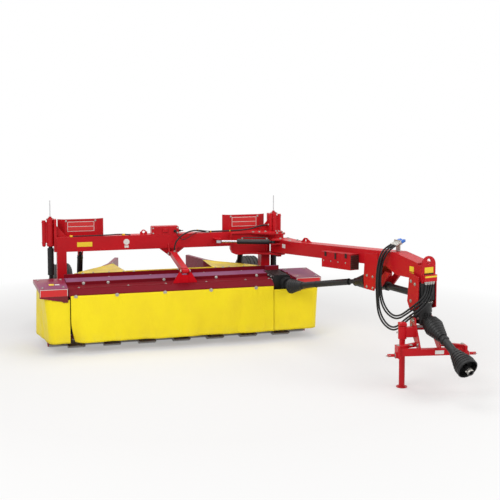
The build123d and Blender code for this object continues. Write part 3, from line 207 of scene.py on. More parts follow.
def surface(name, slot, colour, patch, roughness, dust_and_sheen=0.12, wear=0.35, worn=(0.30, 0.28, 0.27), grain=(90, 0.1),
            metal=0.0, coat=0.0, spread=0.08, dust_and_sheen_colour=(0.42, 0.36, 0.30), gloss=0.5):
    """Finish with dust on top, which on the hoods and swath boards is a painted mauve reflection of the sky, and
    wear along its edges.
    """
    return grouped_finish(name, wear_dust_and_sheen, {
        "Colour": (*colour, 1), "Patch Colour": (*patch, 1), "Dust and Sheen Colour": (*dust_and_sheen_colour, 1),
        "Worn Colour": (*worn, 1), "Dust and Sheen": dust_and_sheen, "Wear": wear, "Roughness": roughness, "Roughness Spread": spread,
        "Grain Scale": grain[0], "Grain Height": grain[1]},
        {"Metallic": metal, "Coat Weight": coat, "Coat Roughness": 0.06, "Specular IOR Level": gloss})


def dress(finish, *names):
    """Gives CAD nodes their finish."""
    for name in names:
        if not nodes[name].material_slots:
            nodes[name].data.materials.append(finish)
        for place in nodes[name].material_slots:
            place.material = finish


def new_piece(name, form, finish, body, smooth=False):
    """Piece from a bmesh with its finish, riding on a body."""
    data = bpy.data.meshes.new(name)
    bmesh.ops.recalc_face_normals(form, faces=form.faces[:])
    form.to_mesh(data)
    form.free()
    for face in data.polygons:
        face.use_smooth = smooth
    data.materials.append(finish)
    piece = bpy.data.objects.new(name, data)
    scene.collection.objects.link(piece)
    if smooth:
        data.set_sharp_from_angle(angle=math.radians(40))
    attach(piece, body)
    return piece


def build(name, finish, body, steps, smooth=False):
    """Piece of simple forms, each step a function with its values."""
    form = bmesh.new()
    for make, *values in steps:
        make(form, *values)
    return new_piece(name, form, finish, body, smooth)


def at(x, y, z):
    """Upright place at a point."""
    return Matrix.Translation((x, y, z))


def facing(point, normal):
    """Place whose own Z axis looks along a normal, with Y upwards where it can."""
    return Matrix.Translation(point) @ Vector(normal).to_track_quat("Z", "Y").to_matrix().to_4x4()


def lathe(form, profile, sides, place):
    """Turned shape from (radius, height) pairs, added to a bmesh."""
    rings = []
    for radius, height in profile:
        turns = [math.tau * step / sides for step in range(sides if radius else 1)]
        rings.append([form.verts.new(place @ Vector((radius * math.cos(a), radius * math.sin(a), height)))
                      for a in turns])
    for low, high in zip(rings, rings[1:]):
        for step in range(sides):
            after = step + 1
            corners = [low[step % len(low)], low[after % len(low)], high[after % len(high)],
                       high[step % len(high)]]
            form.faces.new(list(dict.fromkeys(corners)))


def pipe_run(form, points, radius, sides, over=0.0):
    """Pipe in straight pieces between points, its ends a little past them."""
    for start, end in zip(points, points[1:]):
        along = Vector(end) - Vector(start)
        reach = along.length
        lathe(form, [(0, -over), (radius, 0), (radius, reach), (0, reach + over)], sides, facing(start, along))


def slab(form, outline, depth, place, edge):
    """Flat plate from its outline in X and Y, raised along Z, with its edges broken."""
    low = [form.verts.new(place @ Vector((x, y, 0))) for x, y in outline]
    high = [form.verts.new(place @ Vector((x, y, depth))) for x, y in outline]
    count = len(outline)
    faces = [form.faces.new(low[::-1]), form.faces.new(high)]
    for step in range(count):
        after = (step + 1) % count
        form.faces.new([low[step], low[after], high[after], high[step]])
    rims = [line for face in faces for line in face.edges]
    bmesh.ops.bevel(form, geom=rims, offset=edge, segments=1, affect="EDGES")


def plate(form, width, height, depth, place, edge=0.0003, centre=(0, 0)):
    """Rectangular plate or sticker about a centre."""
    x, y = centre
    slab(form, [(x - width / 2, y - height / 2), (x + width / 2, y - height / 2), (x + width / 2, y + height / 2),
                (x - width / 2, y + height / 2)], depth, place, edge)


def bolt(form, point, normal, size):
    """Hexagon bolt head on its washer, from its size across the flats."""
    place = facing(point, normal)
    lathe(form, [(0, 0), (size * 0.95, 0), (size * 0.95, size * 0.14), (0, size * 0.14)], 20, place)
    lathe(form, [(0, size * 0.14), (size * 0.56, size * 0.14), (size * 0.56, size * 0.48),
                 (size * 0.46, size * 0.58), (0, size * 0.58)], 6, place)


frame_colours = (0.56, 0.005, 0.012), (0.47, 0.004, 0.010)
frame_red = surface("frame red", "red_paint", *frame_colours, 0.36, dust_and_sheen=0.04, gloss=0.20)
zinc = surface("zinc bolts", "plug_steel", (0.46, 0.45, 0.42), (0.38, 0.36, 0.33), 0.38, dust_and_sheen=0.1, metal=0.85,
               grain=(240, 0.15))
sticker_yellow = surface("yellow sticker", "yellow_curtain", (0.90, 0.66, 0.02), (0.84, 0.60, 0.02), 0.45,
                         dust_and_sheen=0.08, wear=0.0, grain=(30, 0.04))
sticker_pale = surface("pale sticker", "plug_steel", (0.78, 0.77, 0.74), (0.70, 0.69, 0.66), 0.45, dust_and_sheen=0.10,
                       wear=0.0, grain=(30, 0.04))
dress(frame_red, "main_frame", "pivot_plate_upper", "pivot_plate_lower")

sides = (("right", -1), ("left", 1))
frame_mid = -0.05
beam_front, beam_top, leg_front = 0.525, 1.155, 0.512
sticker_thick, label_thick = 0.0010, 0.0012

build("frame_bolts", zinc, "frame", [
    (bolt, (x, y, 1.150), up, 0.020)
    for x, y in ((1.02, 0.49), (1.10, 0.49), (1.18, 0.49), (1.345, 0.30), (1.275, 0.30))])
nipple = [(0, 0), (0.006, 0), (0.006, 0.004), (0.003, 0.005), (0.004, 0.011), (0.002, 0.014), (0, 0.014)]
build("pivot_grease_nipples", zinc, "frame", [
    (lathe, nipple, 12, facing((1.24, 0.458, height), ahead)) for height in (1.02, 0.95)], smooth=True)
build("beam_sticker_yellow", sticker_yellow, "frame", [
    (plate, 0.177, 0.055, label_thick, facing((-1.0245, beam_front, 1.0655), ahead))])
build("beam_label_round", sticker_pale, "frame", [
    (lathe, [(0, 0), (0.034, 0), (0.036, 0.0006), (0.036, 0.0012), (0, 0.0012)], 40,
     facing((-0.5325, beam_front, 1.078), ahead)),
    (plate, 0.05, 0.028, label_thick, facing((-0.5325, beam_front, 1.022), ahead))])
build("leg_pipes", zinc, "frame", [
    (pipe_run, [(1.115, 0.515, 1.018 - drop), (1.135, leg_front, 1.018 - drop), (1.152, leg_front, 1.008 - drop),
                (1.158, leg_front, 0.985)], 0.0052, 12) for drop in (0.0, 0.016)], smooth=True)


# Spring towers and their sleeved rods.
# Two steel tubes a side hold the springs that carry the cutterbar. A plated
# gauge rod stands on the wide tube, and black sleeves cover the rods below.
tower_mid_y, tower_top = 0.600, 1.365
wide_reach, thin_reach = 1.365, 1.439
bare_from = tower_top + 0.018


def painted_over(finish):
    """A finish's tree, its shader's inputs and the colour that reaches them."""
    tree = finish.node_tree
    inputs = [part for part in tree.nodes if part.type == "BSDF_PRINCIPLED"][0].inputs
    return tree, inputs, inputs["Base Color"].links[0].from_socket


def tower_paint():
    """Frame red with the bare plated gauge rod above the cap."""
    finish = surface("tower red", "red_paint", *frame_colours, 0.36, dust_and_sheen=0.04, gloss=0.20)
    tree, inputs, painted = painted_over(finish)
    where = shade(tree, "TexCoord").outputs["Object"]
    bare = reckon(tree, "GREATER_THAN", shade(tree, "SeparateXYZ", {0: where}).outputs[2], bare_from)
    tree.links.new(blend(tree, bare, painted, (0.55, 0.55, 0.56, 1)), inputs["Base Color"])
    tree.links.new(bare, inputs["Metallic"])
    return finish


sleeve_black = surface("sleeve black", "black_plastic", (0.007, 0.007, 0.008), (0.012, 0.012, 0.013), 0.50,
                       dust_and_sheen=0.04, wear=0.1, worn=(0.08, 0.08, 0.08), grain=(150, 0.12), gloss=0.25)
dress(tower_paint(), "spring_tower_right", "spring_tower_left")
dress(sleeve_black, "spring_strut_right", "spring_strut_left")

collars, tower_bolts, sleeve_rings = [], [], []
for word, side in sides:
    wide_x, thin_x = frame_mid + side * wide_reach, frame_mid + side * thin_reach
    for low in (1.062, 1.300):
        collars.append((lathe, [(0.0395, 0), (0.0445, 0.002), (0.0445, 0.014), (0.0395, 0.016)], 40,
                        at(wide_x, tower_mid_y, low)))
    for low in (1.085, 1.325):
        collars.append((lathe, [(0.0215, 0), (0.0255, 0.002), (0.0255, 0.012), (0.0215, 0.014)], 32,
                        at(thin_x, tower_mid_y, low)))
    collars.append((lathe, [(0.012, 0.0), (0.017, 0.001), (0.017, 0.014), (0.009, 0.016), (0.0055, 0.016)], 6,
                    at(wide_x, tower_mid_y, bare_from)))
    for across in (-0.032, 0.032):
        tower_bolts.append((bolt, (wide_x + across, 0.588, 1.371), up, 0.013))
    for low, wide in ((0.716, 0.0375), (0.80, 0.0368), (0.90, 0.0368), (1.005, 0.0375)):
        sleeve_rings.append((lathe, [(0.0355, -0.006), (wide, -0.004), (wide, 0.004), (0.0355, 0.006)], 40,
                             at(wide_x, tower_mid_y, low)))
build("tower_collars", frame_red, "frame", collars, smooth=True)
build("tower_bolts", zinc, "frame", tower_bolts)
build("sleeve_rings", sleeve_black, "frame", sleeve_rings, smooth=True)


# Sign boards.
# Folded sheet boards stand behind the beam, their ends bent back. Each has a
# stiffening gusset behind it, four screws and a framed label place, left blank.
board_reach, board_low, board_high, board_face = 1.005, 1.022, 1.352, 0.675
label_red = surface("label red", "red_paint", (0.62, 0.010, 0.012), (0.56, 0.009, 0.011), 0.42, dust_and_sheen=0.08,
                    wear=0.0, grain=(30, 0.03))
label_pale = surface("label frame", "plug_steel", (0.74, 0.68, 0.64), (0.68, 0.62, 0.58), 0.45, dust_and_sheen=0.08,
                     wear=0.0, grain=(30, 0.03))
dress(frame_red, "sign_board_right", "sign_board_left")


def framed_label(fields, frames, place, width, height, rows=1):
    """Blank printed label: a coloured field with a thin pale border, in one or more rows."""
    frames.append((plate, width, height, sticker_thick, place, 0.0002))
    rim = 0.006
    tall = (height - rim * (rows + 1)) / rows
    for row in range(rows):
        middle = -height / 2 + rim + tall / 2 + row * (tall + rim)
        fields.append((plate, width - 2 * rim, tall, 1.4 * sticker_thick, place, 0.0002, (0, middle)))


sign_fields, sign_frames, board_ribs, board_screws = [], [], [], []
for word, side in sides:
    x = frame_mid + side * board_reach
    framed_label(sign_fields, sign_frames, facing((x, board_face, 1.263), ahead), 0.316, 0.118, rows=2)
    for across in (-0.15, 0.15):
        rib = [(board_face + 0.003, board_low - 0.01), (board_face + 0.003, board_high - 0.03),
               (0.715, board_low + 0.02), (0.715, board_low - 0.01)]
        turn = Matrix(((0, 0, 1, x + across - 0.004), (1, 0, 0, 0), (0, 1, 0, 0), (0, 0, 0, 1)))
        board_ribs.append((slab, rib, 0.008, turn, 0.001))
    for across in (-0.172, 0.172):
        for height in (1.06, 1.33):
            board_screws.append((bolt, (x + across, board_face, height), ahead, 0.013))
build("sign_labels", label_red, "frame", sign_fields)
build("sign_label_frames", label_pale, "frame", sign_frames)
build("sign_board_ribs", frame_red, "frame", board_ribs)
build("sign_board_screws", zinc, "frame", board_screws)


# Valve box and beam fittings.
# A red cover over the valves stands on the beam, with a black cable gland at its
# end and a hose socket in front. Yellow ties hold the hose and the cable pipe.
gland_black = surface("gland black", "black_plastic", (0.008, 0.008, 0.009), (0.013, 0.013, 0.014), 0.55,
                      dust_and_sheen=0.04, wear=0.1, worn=(0.09, 0.09, 0.09), grain=(200, 0.12), gloss=0.25)
tie_yellow = surface("tie yellow", "yellow_curtain", (0.85, 0.52, 0.01), (0.76, 0.45, 0.01), 0.5, dust_and_sheen=0.12,
                     wear=0.0, grain=(60, 0.05))
dress(frame_red, "valve_box")
build("valve_box_screws", zinc, "frame", [
    (bolt, (across, 0.535, height), ahead, 0.010) for across in (-0.21, 0.085) for height in (1.168, 1.228)])
build("valve_box_lid", frame_red, "frame", [(plate, 0.312, 0.100, 0.004, at(-0.063, 0.5925, 1.2455), 0.0015)])
gland_place = facing((0.1005, 0.560, 1.190), (1, 0, 0))
build("cable_gland", gland_black, "frame", [
    (lathe, [(0, 0), (0.017, 0), (0.017, 0.012), (0.014, 0.014), (0.014, 0.022), (0.010, 0.030), (0.006, 0.034),
             (0, 0.034)], 6, gland_place),
    (lathe, [(0, 0.03), (0.005, 0.032), (0.005, 0.060), (0, 0.061)], 12, gland_place),
    (lathe, [(0, 0), (0.019, 0), (0.019, 0.006), (0.015, 0.008), (0.015, 0.014), (0.012, 0.016), (0, 0.012)], 28,
     facing((0.056, 0.5355, 1.188), ahead))], smooth=True)
tie_band = [(0.0092, -0.005), (0.0118, -0.005), (0.0118, 0.005), (0.0092, 0.005), (0.0092, -0.005)]
build("beam_ties", tie_yellow, "frame", [
    *[(lathe, tie_band, 24, facing(spot, (1, 0.02, 0)))
      for spot in ((0.500, 0.556, 1.166), (0.742, 0.558, 1.166), (0.330, 0.532, 1.189))],
    *[(plate, 0.034, 0.030, 0.020, at(x, 0.545, beam_top), 0.003) for x in (-1.178, -0.566)]], smooth=True)
cable_turns = ((-1.195, 1.158), (-1.178, 1.164), (-1.085, 1.164), (-0.909, 1.164), (-0.732, 1.167),
               (-0.640, 1.171), (-0.566, 1.170), (-0.482, 1.160))
build("beam_cable_pipe", gland_black, "frame", [
    (pipe_run, [(x, 0.545, z) for x, z in cable_turns], 0.0065, 14, 0.001)], smooth=True)


# Wheels, their arms and lift cylinders.
# Ribbed implement tyres on grey pressed rims, five nuts a wheel. Red trailing
# arms turn under the frame, and black cylinders with chromed rods lift it.
tyre_rubber = surface("tyre rubber", "tyre", (0.022, 0.022, 0.023), (0.034, 0.033, 0.032), 0.72, dust_and_sheen=0.30,
                      wear=0.25, worn=(0.11, 0.105, 0.10), grain=(120, 0.35), dust_and_sheen_colour=(0.20, 0.18, 0.155))
rim_grey = surface("rim grey", "rim_paint", (0.52, 0.51, 0.49), (0.46, 0.45, 0.43), 0.42, dust_and_sheen=0.22, wear=0.3,
                   coat=0.15)
cylinder_black = surface("cylinder black", "cylinder_steel", (0.006, 0.006, 0.007), (0.011, 0.011, 0.012), 0.30,
                         dust_and_sheen=0.05, worn=(0.16, 0.15, 0.14), gloss=0.35)
chrome = surface("chromed rod", "cylinder_steel", (0.46, 0.46, 0.48), (0.40, 0.40, 0.42), 0.16, dust_and_sheen=0.05,
                 wear=0.0, metal=1.0, grain=(300, 0.02), spread=0.03)
dress(tyre_rubber, "tyre_right", "tyre_left")
dress(rim_grey, "rim_right", "rim_left")
dress(frame_red, "wheel_arm_right", "wheel_arm_left")
dress(cylinder_black, "lift_barrel_right", "lift_barrel_left")
dress(chrome, "lift_rod_right", "lift_rod_left")
wheels_mid, wheel_reach, tyre_wall, lift_inset = -0.07, 1.200, 0.1255, 0.205
axle_y, axle_z, nut_circle, nut_count = 1.120, 0.380, 0.088, 5
for word, side in sides:
    wheel_x = wheels_mid + side * wheel_reach
    turns = [math.tau * step / nut_count for step in range(nut_count)]
    build(f"wheel_nuts_{word}", zinc, f"wheel_{word}", [
        (bolt, Vector((wheel_x + side * 0.030, axle_y + nut_circle * math.cos(turn),
                       axle_z + nut_circle * math.sin(turn))), (side, 0, 0), 0.022) for turn in turns])
    build(f"hub_cap_{word}", rim_grey, f"wheel_{word}", [
        (lathe, [(0, 0), (0.044, 0), (0.044, 0.008), (0.040, 0.012), (0.038, 0.030), (0.030, 0.036), (0, 0.038)],
         36, facing((wheel_x + side * 0.062, axle_y, axle_z), (side, 0, 0)))], smooth=True)
    build(f"tyre_rings_{word}", tyre_rubber, f"wheel_{word}", [
        (lathe, [(radius - 0.003, 0), (radius - 0.002, 0.0035), (radius + 0.002, 0.0035), (radius + 0.003, 0),
                 (radius - 0.003, 0)], 96, facing((wheel_x + face * tyre_wall, axle_y, axle_z), (face, 0, 0)))
        for face in (-1, 1) for radius in (0.262, 0.292, 0.318)], smooth=True)
    lift_x = wheel_x - side * lift_inset
    top, low = Vector((lift_x, 0.705, 0.938)), Vector((lift_x, 0.915, 0.470))
    along = (low - top).normalized()
    build(f"lift_gland_{word}", cylinder_black, f"lift_barrel_{word}", [
        (lathe, [(0.017, 0), (0.036, 0), (0.038, 0.003), (0.038, 0.020), (0.030, 0.026), (0.017, 0.026),
                 (0.017, 0)], 36, facing(top + along * 0.318, along)),
        (lathe, [(0.034, 0), (0.0365, 0.002), (0.0365, 0.010), (0.034, 0.012), (0.034, 0)], 36,
         facing(top + along * 0.06, along))], smooth=True)


# Carrier, cutterbar and discs.
# A red cross tube carries the flat steel cutterbar on its skids. The bar is
# rubbed bright by crop, and so are the rims of the red oval discs.
bar_steel = surface("worn bar steel", "plug_steel", (0.50, 0.49, 0.47), (0.40, 0.38, 0.36), 0.45, dust_and_sheen=0.15,
                    wear=0.6, worn=(0.60, 0.59, 0.58), metal=0.3, grain=(160, 0.3), dust_and_sheen_colour=(0.36, 0.31, 0.26))
disc_red = surface("disc red", "red_paint", (0.30, 0.010, 0.012), (0.22, 0.012, 0.012), 0.42, dust_and_sheen=0.22,
                   wear=0.9, worn=(0.42, 0.41, 0.40), grain=(120, 0.25))
under_red = surface("carrier red", "red_paint", (0.40, 0.008, 0.014), (0.32, 0.008, 0.012), 0.42, dust_and_sheen=0.25,
                    coat=0.1)
dress(under_red, "carrier")
dress(bar_steel, "cutterbar")
disc_count, disc_pitch, knife_reach = 7, 0.395, 0.170
hub_top, drive_top, knife_top = 0.1375, 0.5575, 0.1045
dress(disc_red, *[f"disc_{number + 1}" for number in range(disc_count)])
for number in range(disc_count):
    x = (number - disc_count // 2) * disc_pitch
    top = hub_top if number < disc_count - 1 else drive_top
    ends = [(way * knife_reach, 0) if number % 2 == 0 else (0, way * knife_reach) for way in (-1, 1)]
    build(f"disc_bolts_{number + 1}", zinc, f"disc_{number + 1}", [
        (bolt, (x, 0, top), up, 0.034),
        *[(bolt, (x + across, back, knife_top), up, 0.020) for across, back in ends]])


# Deck and side hoods.
# Bent sheet covers over the discs, in the frame's gloss red painted darker as
# shade, with a painted reflection of the sky on their tops. Screws hold the rim
# and the step, and each hood has a blank label place.
# Hood red is the frame's red painted darker as shade, and its mauve dust on the tops is a painted reflection of the
# sky.
hood_red = surface("hood red", "deck_paint", (0.24, 0.006, 0.020), (0.20, 0.005, 0.016), 0.28, dust_and_sheen=0.70,
                   gloss=0.15, spread=0.04, dust_and_sheen_colour=(0.30, 0.12, 0.26))
plate_dark = surface("hood strip red", "deck_paint", (0.17, 0.006, 0.010), (0.14, 0.006, 0.010), 0.30, dust_and_sheen=0.08,
                     gloss=0.3)
# Deck and lip reds are the frame's red painted darker, as painted shade.
painted_shade_reds = (0.19, 0.004, 0.012), (0.16, 0.003, 0.010)
band_front, band_back, mast_back, mast_low = -0.09, 0.265, -0.13, 0.702


def deck_paint():
    """Deck red painted darker as shade, with a painted mauve reflection of the sky on the flat band behind the
    step, and frame red on the mast.
    """
    finish = surface("deck red", "deck_paint", *painted_shade_reds, 0.46, dust_and_sheen=0.03, gloss=0.04, spread=0.04)
    tree, inputs, painted = painted_over(finish)
    where = shade(tree, "TexCoord").outputs
    back, height = shade(tree, "SeparateXYZ", {0: where["Object"]}).outputs[1:3]
    upward = shade(tree, "SeparateXYZ", {0: where["Normal"]}).outputs[2]
    # The band's mauve is a painted reflection of the sky on the flat deck.
    painted_sky_band = times(tree, reckon(tree, "GREATER_THAN", back, band_front),
                 reckon(tree, "LESS_THAN", back, band_back), span(tree, upward, 0.90, 0.99), 0.75)
    mast = times(tree, reckon(tree, "GREATER_THAN", height, mast_low), reckon(tree, "LESS_THAN", back, mast_back))
    painted = blend(tree, painted_sky_band, painted, (0.26, 0.10, 0.21, 1))
    tree.links.new(blend(tree, mast, painted, (*frame_colours[0], 1)), inputs["Base Color"])
    return finish


dress(deck_paint(), "deck")
dress(hood_red, "side_hood_right", "side_hood_left")
hood_mid_x, hood_front, hood_top = 1.4345, -0.420, 0.722
front_plane = Matrix(((1, 0, 0, 0), (0, 0, -1, hood_front), (0, 1, 0, 0), (0, 0, 0, 1)))

build("deck_bolts", zinc, "frame", [
    *[(bolt, (x, 0.287, 0.760), up, 0.020) for x in (-1.071, -0.482, 0.041, 0.590)],
    *[(bolt, (x, -0.1045, z), (0, -0.97, 0.24), 0.017)
      for x, z in ((-1.096, 0.718), (-0.825, 0.716), (-0.193, 0.718), (0.415, 0.717), (0.90, 0.716))],
    *[(bolt, (x, -0.275, 0.700), up, 0.015) for x in (-1.16, -0.62, -0.20, 0.26, 0.72, 1.00)],
    *[(bolt, (x, 0.215, 0.718), up, 0.018) for x in (-0.78, -0.30, 0.34, 0.80)]])
hood_fields, hood_frames, hood_strips, hood_bolts = [], [], [], []
for word, side in sides:
    framed_label(hood_fields, hood_frames, facing((side * hood_mid_x, hood_front, 0.6755), ahead), 0.290, 0.088)
    strip = [(side * x, z) for x, z in ((1.287, 0.571), (1.334, 0.571), (1.420, 0.626), (1.583, 0.632),
                                        (1.583, 0.642), (1.287, 0.642))]
    hood_strips.append((slab, strip[::side], 0.0025, front_plane, 0.0008))
    for across, back in ((1.33, -0.32), (1.33, 0.16), (1.55, -0.33), (1.58, 0.17)):
        hood_bolts.append((bolt, (side * across, back, hood_top), up, 0.017))
build("hood_labels", label_red, "frame", hood_fields)
build("hood_label_frames", label_pale, "frame", hood_frames)
build("hood_strips", plate_dark, "frame", hood_strips)
build("hood_bolts", zinc, "frame", hood_bolts)
build("deck_stickers", sticker_pale, "frame", [(plate, 0.050, 0.060, sticker_thick, at(-1.385, -0.153, hood_top))])
build("deck_stickers_yellow", sticker_yellow, "frame", [
    (plate, 0.055, 0.100, sticker_thick, at(-1.448, -0.140, hood_top))])


# Front flap and its curtain.
# A hinged lip holds the yellow curtain of coated cloth with five bolts. Its right
# edge turns in, and a black sheet behind the gap beside it paints the shade inside the mower.
coated_cloth, given, result = effect("coated cloth", {
    "Colour": (0.955, 0.80, 0.03, 1), "Painted Shade Colour": (0.90, 0.70, 0.03, 1), "Dirt Colour": (0.40, 0.33, 0.12, 1),
    "Dirt": 0.3, "Hem Height": 0.13, "Thread Scale": 110.0, "Crease": 0.35}, ("Colour", "Roughness", "Normal"))
tree = coated_cloth
where = shade(tree, "TexCoord").outputs["Object"]
threads = None
for way in ("X", "Y", "Z"):
    line = shade(tree, "TexWave", {"Vector": where, "Scale": given["Thread Scale"], "Distortion": 0.15},
                 bands_direction=way).outputs["Fac"]
    threads = line if threads is None else reckon(tree, "ADD", threads, line)
broad = shade(tree, "TexNoise", {"Vector": where, "Scale": 3.2, "Detail": 5.0}).outputs["Fac"]
crumple = shade(tree, "TexNoise", {"Vector": where, "Scale": 11.0, "Detail": 6.0, "Distortion": 0.6}).outputs["Fac"]
height = shade(tree, "SeparateXYZ", {0: where}).outputs[2]
low_part = span(tree, reckon(tree, "SUBTRACT", height, given["Hem Height"]), 0.11, 0.0)
splashes = times(tree, low_part, span(tree, crumple, 0.38, 0.68))
film = times(tree, span(tree, broad, 0.42, 0.75), 0.25)
soiled = times(tree, reckon(tree, "ADD", splashes, film), given["Dirt"])
# Random broad patches take a darker yellow, a painted shade.
cloth = blend(tree, span(tree, broad, 0.35, 0.65), given["Colour"], given["Painted Shade Colour"])
tree.links.new(blend(tree, soiled, cloth, given["Dirt Colour"]), result["Colour"])
tree.links.new(span(tree, crumple, 0.3, 0.7, 0.34, 0.48), result["Roughness"])
creased = shade(tree, "Bump", {"Strength": given["Crease"], "Distance": 0.012, "Height": crumple})
weave = shade(tree, "Bump", {"Strength": 0.25, "Distance": 0.0006, "Height": threads, "Normal": creased.outputs[0]})
tree.links.new(weave.outputs[0], result["Normal"])


def curtain_cloth(name, colour, painted_shade, dirt, hem=0.13, crease=0.35):
    """Coated yellow cloth with its weave, creases, random patches of painted shade and a dirty hem."""
    return grouped_finish(name, coated_cloth, {
        "Colour": (*colour, 1), "Painted Shade Colour": (*painted_shade, 1), "Dirt": dirt, "Hem Height": hem, "Crease": crease},
        {"Specular IOR Level": 0.12})


def sheet_piece(name, rows, thickness, finish, body, node):
    """Cloth of one thickness from rows of points, standing for a CAD node."""
    form = bmesh.new()
    grid = [[form.verts.new(point) for point in row] for row in rows]
    for low, high in zip(grid, grid[1:]):
        for corners in zip(low, low[1:], high[1:], high):
            form.faces.new(corners)
    bmesh.ops.remove_doubles(form, verts=form.verts[:], dist=0.00001)
    piece = new_piece(name, form, finish, body, smooth=True)
    solid = piece.modifiers.new("thickness", "SOLIDIFY")
    solid.thickness = thickness
    solid.offset = 0
    data = bpy.data.meshes.new_from_object(piece.evaluated_get(bpy.context.evaluated_depsgraph_get()))
    piece.modifiers.clear()
    piece.data = data
    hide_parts(node)
    return piece


curtain_yellow = curtain_cloth("curtain yellow", (0.94, 0.76, 0.018), (0.91, 0.71, 0.018), dirt=0.15)
# The lip takes the deck's darker red, a painted shade.
dress(surface("lip red", "deck_paint", *painted_shade_reds, 0.46, dust_and_sheen=0.02, gloss=0.04, spread=0.04), "front_flap")
cloth_thick = 0.003
flap_bolt_x = (-1.205, -0.763, -0.236, 0.283, 0.805)
curtain_right, curtain_left = -1.258, 1.014
curtain_high, curtain_low, curtain_y = 0.640, 0.123, -0.4235
foremost = curtain_y - 0.020


def hanging_point(across, down):
    """A point of the front curtain, from shares of its width and its drop."""
    x = curtain_right + (curtain_left - curtain_right) * across
    z = curtain_high + (curtain_low - curtain_high) * down
    foot = max(0.0, (down - 0.55) / 0.45) ** 1.5
    x += 0.045 * foot * max(0.0, 1 - across * 7)
    swell = 0.0115 * math.sin(x * 7.3 + 0.6 - down) + 0.0070 * math.sin(x * 17.1 + 1.9 + down * 1.6)
    swell += 0.0038 * math.sin(x * 31 + down * 2.2)
    y = curtain_y - 0.004 * down + swell * down ** 0.8 * min(1.0, (curtain_left - x) / 0.12)
    y += 0.060 * foot * max(0.0, 1 - across * 22) ** 1.5
    for spot in flap_bolt_x:
        near = math.exp(-((x - spot) / 0.075) ** 2) * math.exp(-((z - 0.605) / 0.045) ** 2)
        y -= 0.0048 * near * math.cos(95 * (x - spot))
    return x, max(y, foremost), z


columns, drops = 190, 22
rows = [[hanging_point(step / columns, drop / drops) for step in range(columns + 1)] for drop in range(drops + 1)]
front_cloth = sheet_piece("front_curtain_cloth", rows, cloth_thick, curtain_yellow, "flap", "front_curtain")
build("lip_bolts", zinc, "flap", [(bolt, (x, curtain_y - cloth_thick, 0.632), ahead, 0.021) for x in flap_bolt_x])
build("hinge_pin_heads", zinc, "flap", [
    (lathe, [(0, -0.001), (0.0095, 0), (0.0095, 0.005), (0.006, 0.008), (0, 0.008)], 20,
     facing((x, -0.3133, 0.6975), (way, 0, 0))) for x, way in ((-1.2785, -1), (1.0205, 1))], smooth=True)
# A black sheet behind the gap beside the curtain's right edge paints the shade inside the mower.
shade_sheet_plane = Matrix(((1, 0, 0, 0), (0, 0, -1, -0.292), (0, 1, 0, 0), (0, 0, 0, 1)))
build("shade_sheet_right", sleeve_black, "frame", [
    (plate, 0.120, 0.500, 0.004, shade_sheet_plane, 0.001, (-1.225, 0.445))])


# Side curtains.
# The same cloth goes round each end of the cutterbar, from behind the hood's
# front plate round a soft corner to the back, and follows the hood's slant.
corner_radius, curtain_side, side_front, side_back = 0.080, 1.547, -0.4125, 0.230
front_top, wall_top, side_low = 0.597, 0.715, 0.123
slant_top, slant_foot, side_columns = 0.045, 0.018, 110
arc = corner_radius * math.pi / 2
curtain_shape = {"right": (1.266, Vector((0.004, 0.070, 0)), 0.000, -0.048),
                 "left": (1.020, Vector((-0.045, 0.030, 0)), 0.030, -0.008)}


def round_the_end(inner, tuck, along):
    """Place and outward direction on a side curtain's plan, from the length along it past its tucked edge."""
    front = curtain_side - corner_radius - inner
    if along < 0:
        turned = tuck.normalized()
        return Vector((inner, side_front, 0)) - turned * along, Vector((-turned.y, turned.x, 0))
    if along < front:
        return Vector((inner + along, side_front, 0)), Vector((0, -1, 0))
    if along < front + arc:
        angle = (along - front) / corner_radius
        out = Vector((math.sin(angle), -math.cos(angle), 0))
        return Vector((curtain_side - corner_radius, side_front + corner_radius, 0)) + out * corner_radius, out
    return Vector((curtain_side, side_front + corner_radius + along - front - arc, 0)), Vector((1, 0, 0))


for word, side in sides:
    inner, tuck, corner_high, corner_low = curtain_shape[word]
    front = curtain_side - corner_radius - inner
    whole = front + arc + side_back - side_front - corner_radius
    rows = []
    for drop in range(drops + 1):
        down = drop / drops
        row = []
        for step in range(side_columns + 1):
            along = -tuck.length + (whole + tuck.length) * step / side_columns
            spot, out = round_the_end(inner, tuck, along)
            top = front_top + (wall_top - front_top) * min(1.0, max(0.0, (along - front + 0.004) / 0.016))
            corner_shift = corner_high + (corner_low - corner_high) * down
            if along < front:
                shift = corner_shift * max(0.0, along / front)
            else:
                share = max(0.0, (along - front - arc) / (whole - front - arc))
                shift = corner_shift * (1 - share) ** 1.5 + (slant_top + slant_foot * down) * share
            swell = 0.0045 * math.sin(along * 11 + side) + 0.0040 * math.sin(along * 31 + 2.0 * down)
            spot = spot + out * (swell * down ** 0.8 * min(1.0, abs(along) / 0.06) - 0.002)
            row.append((side * (spot.x + shift), spot.y, top + (side_low - top) * down))
        rows.append(row)
    cloth = sheet_piece(f"side_curtain_cloth_{word}", rows, cloth_thick, curtain_yellow, "frame",
                        f"side_curtain_{word}")
    bolts = []
    for back in (-0.24, -0.02, 0.19):
        share = (back - side_front - corner_radius) / (side_back - side_front - corner_radius)
        out = curtain_side + corner_high * (1 - share) ** 1.5 + slant_top * share
        bolts.append((bolt, (side * (out + 0.001), back, 0.672), (side, 0, 0), 0.018))
    build(f"side_curtain_bolts_{word}", zinc, "frame", bolts)
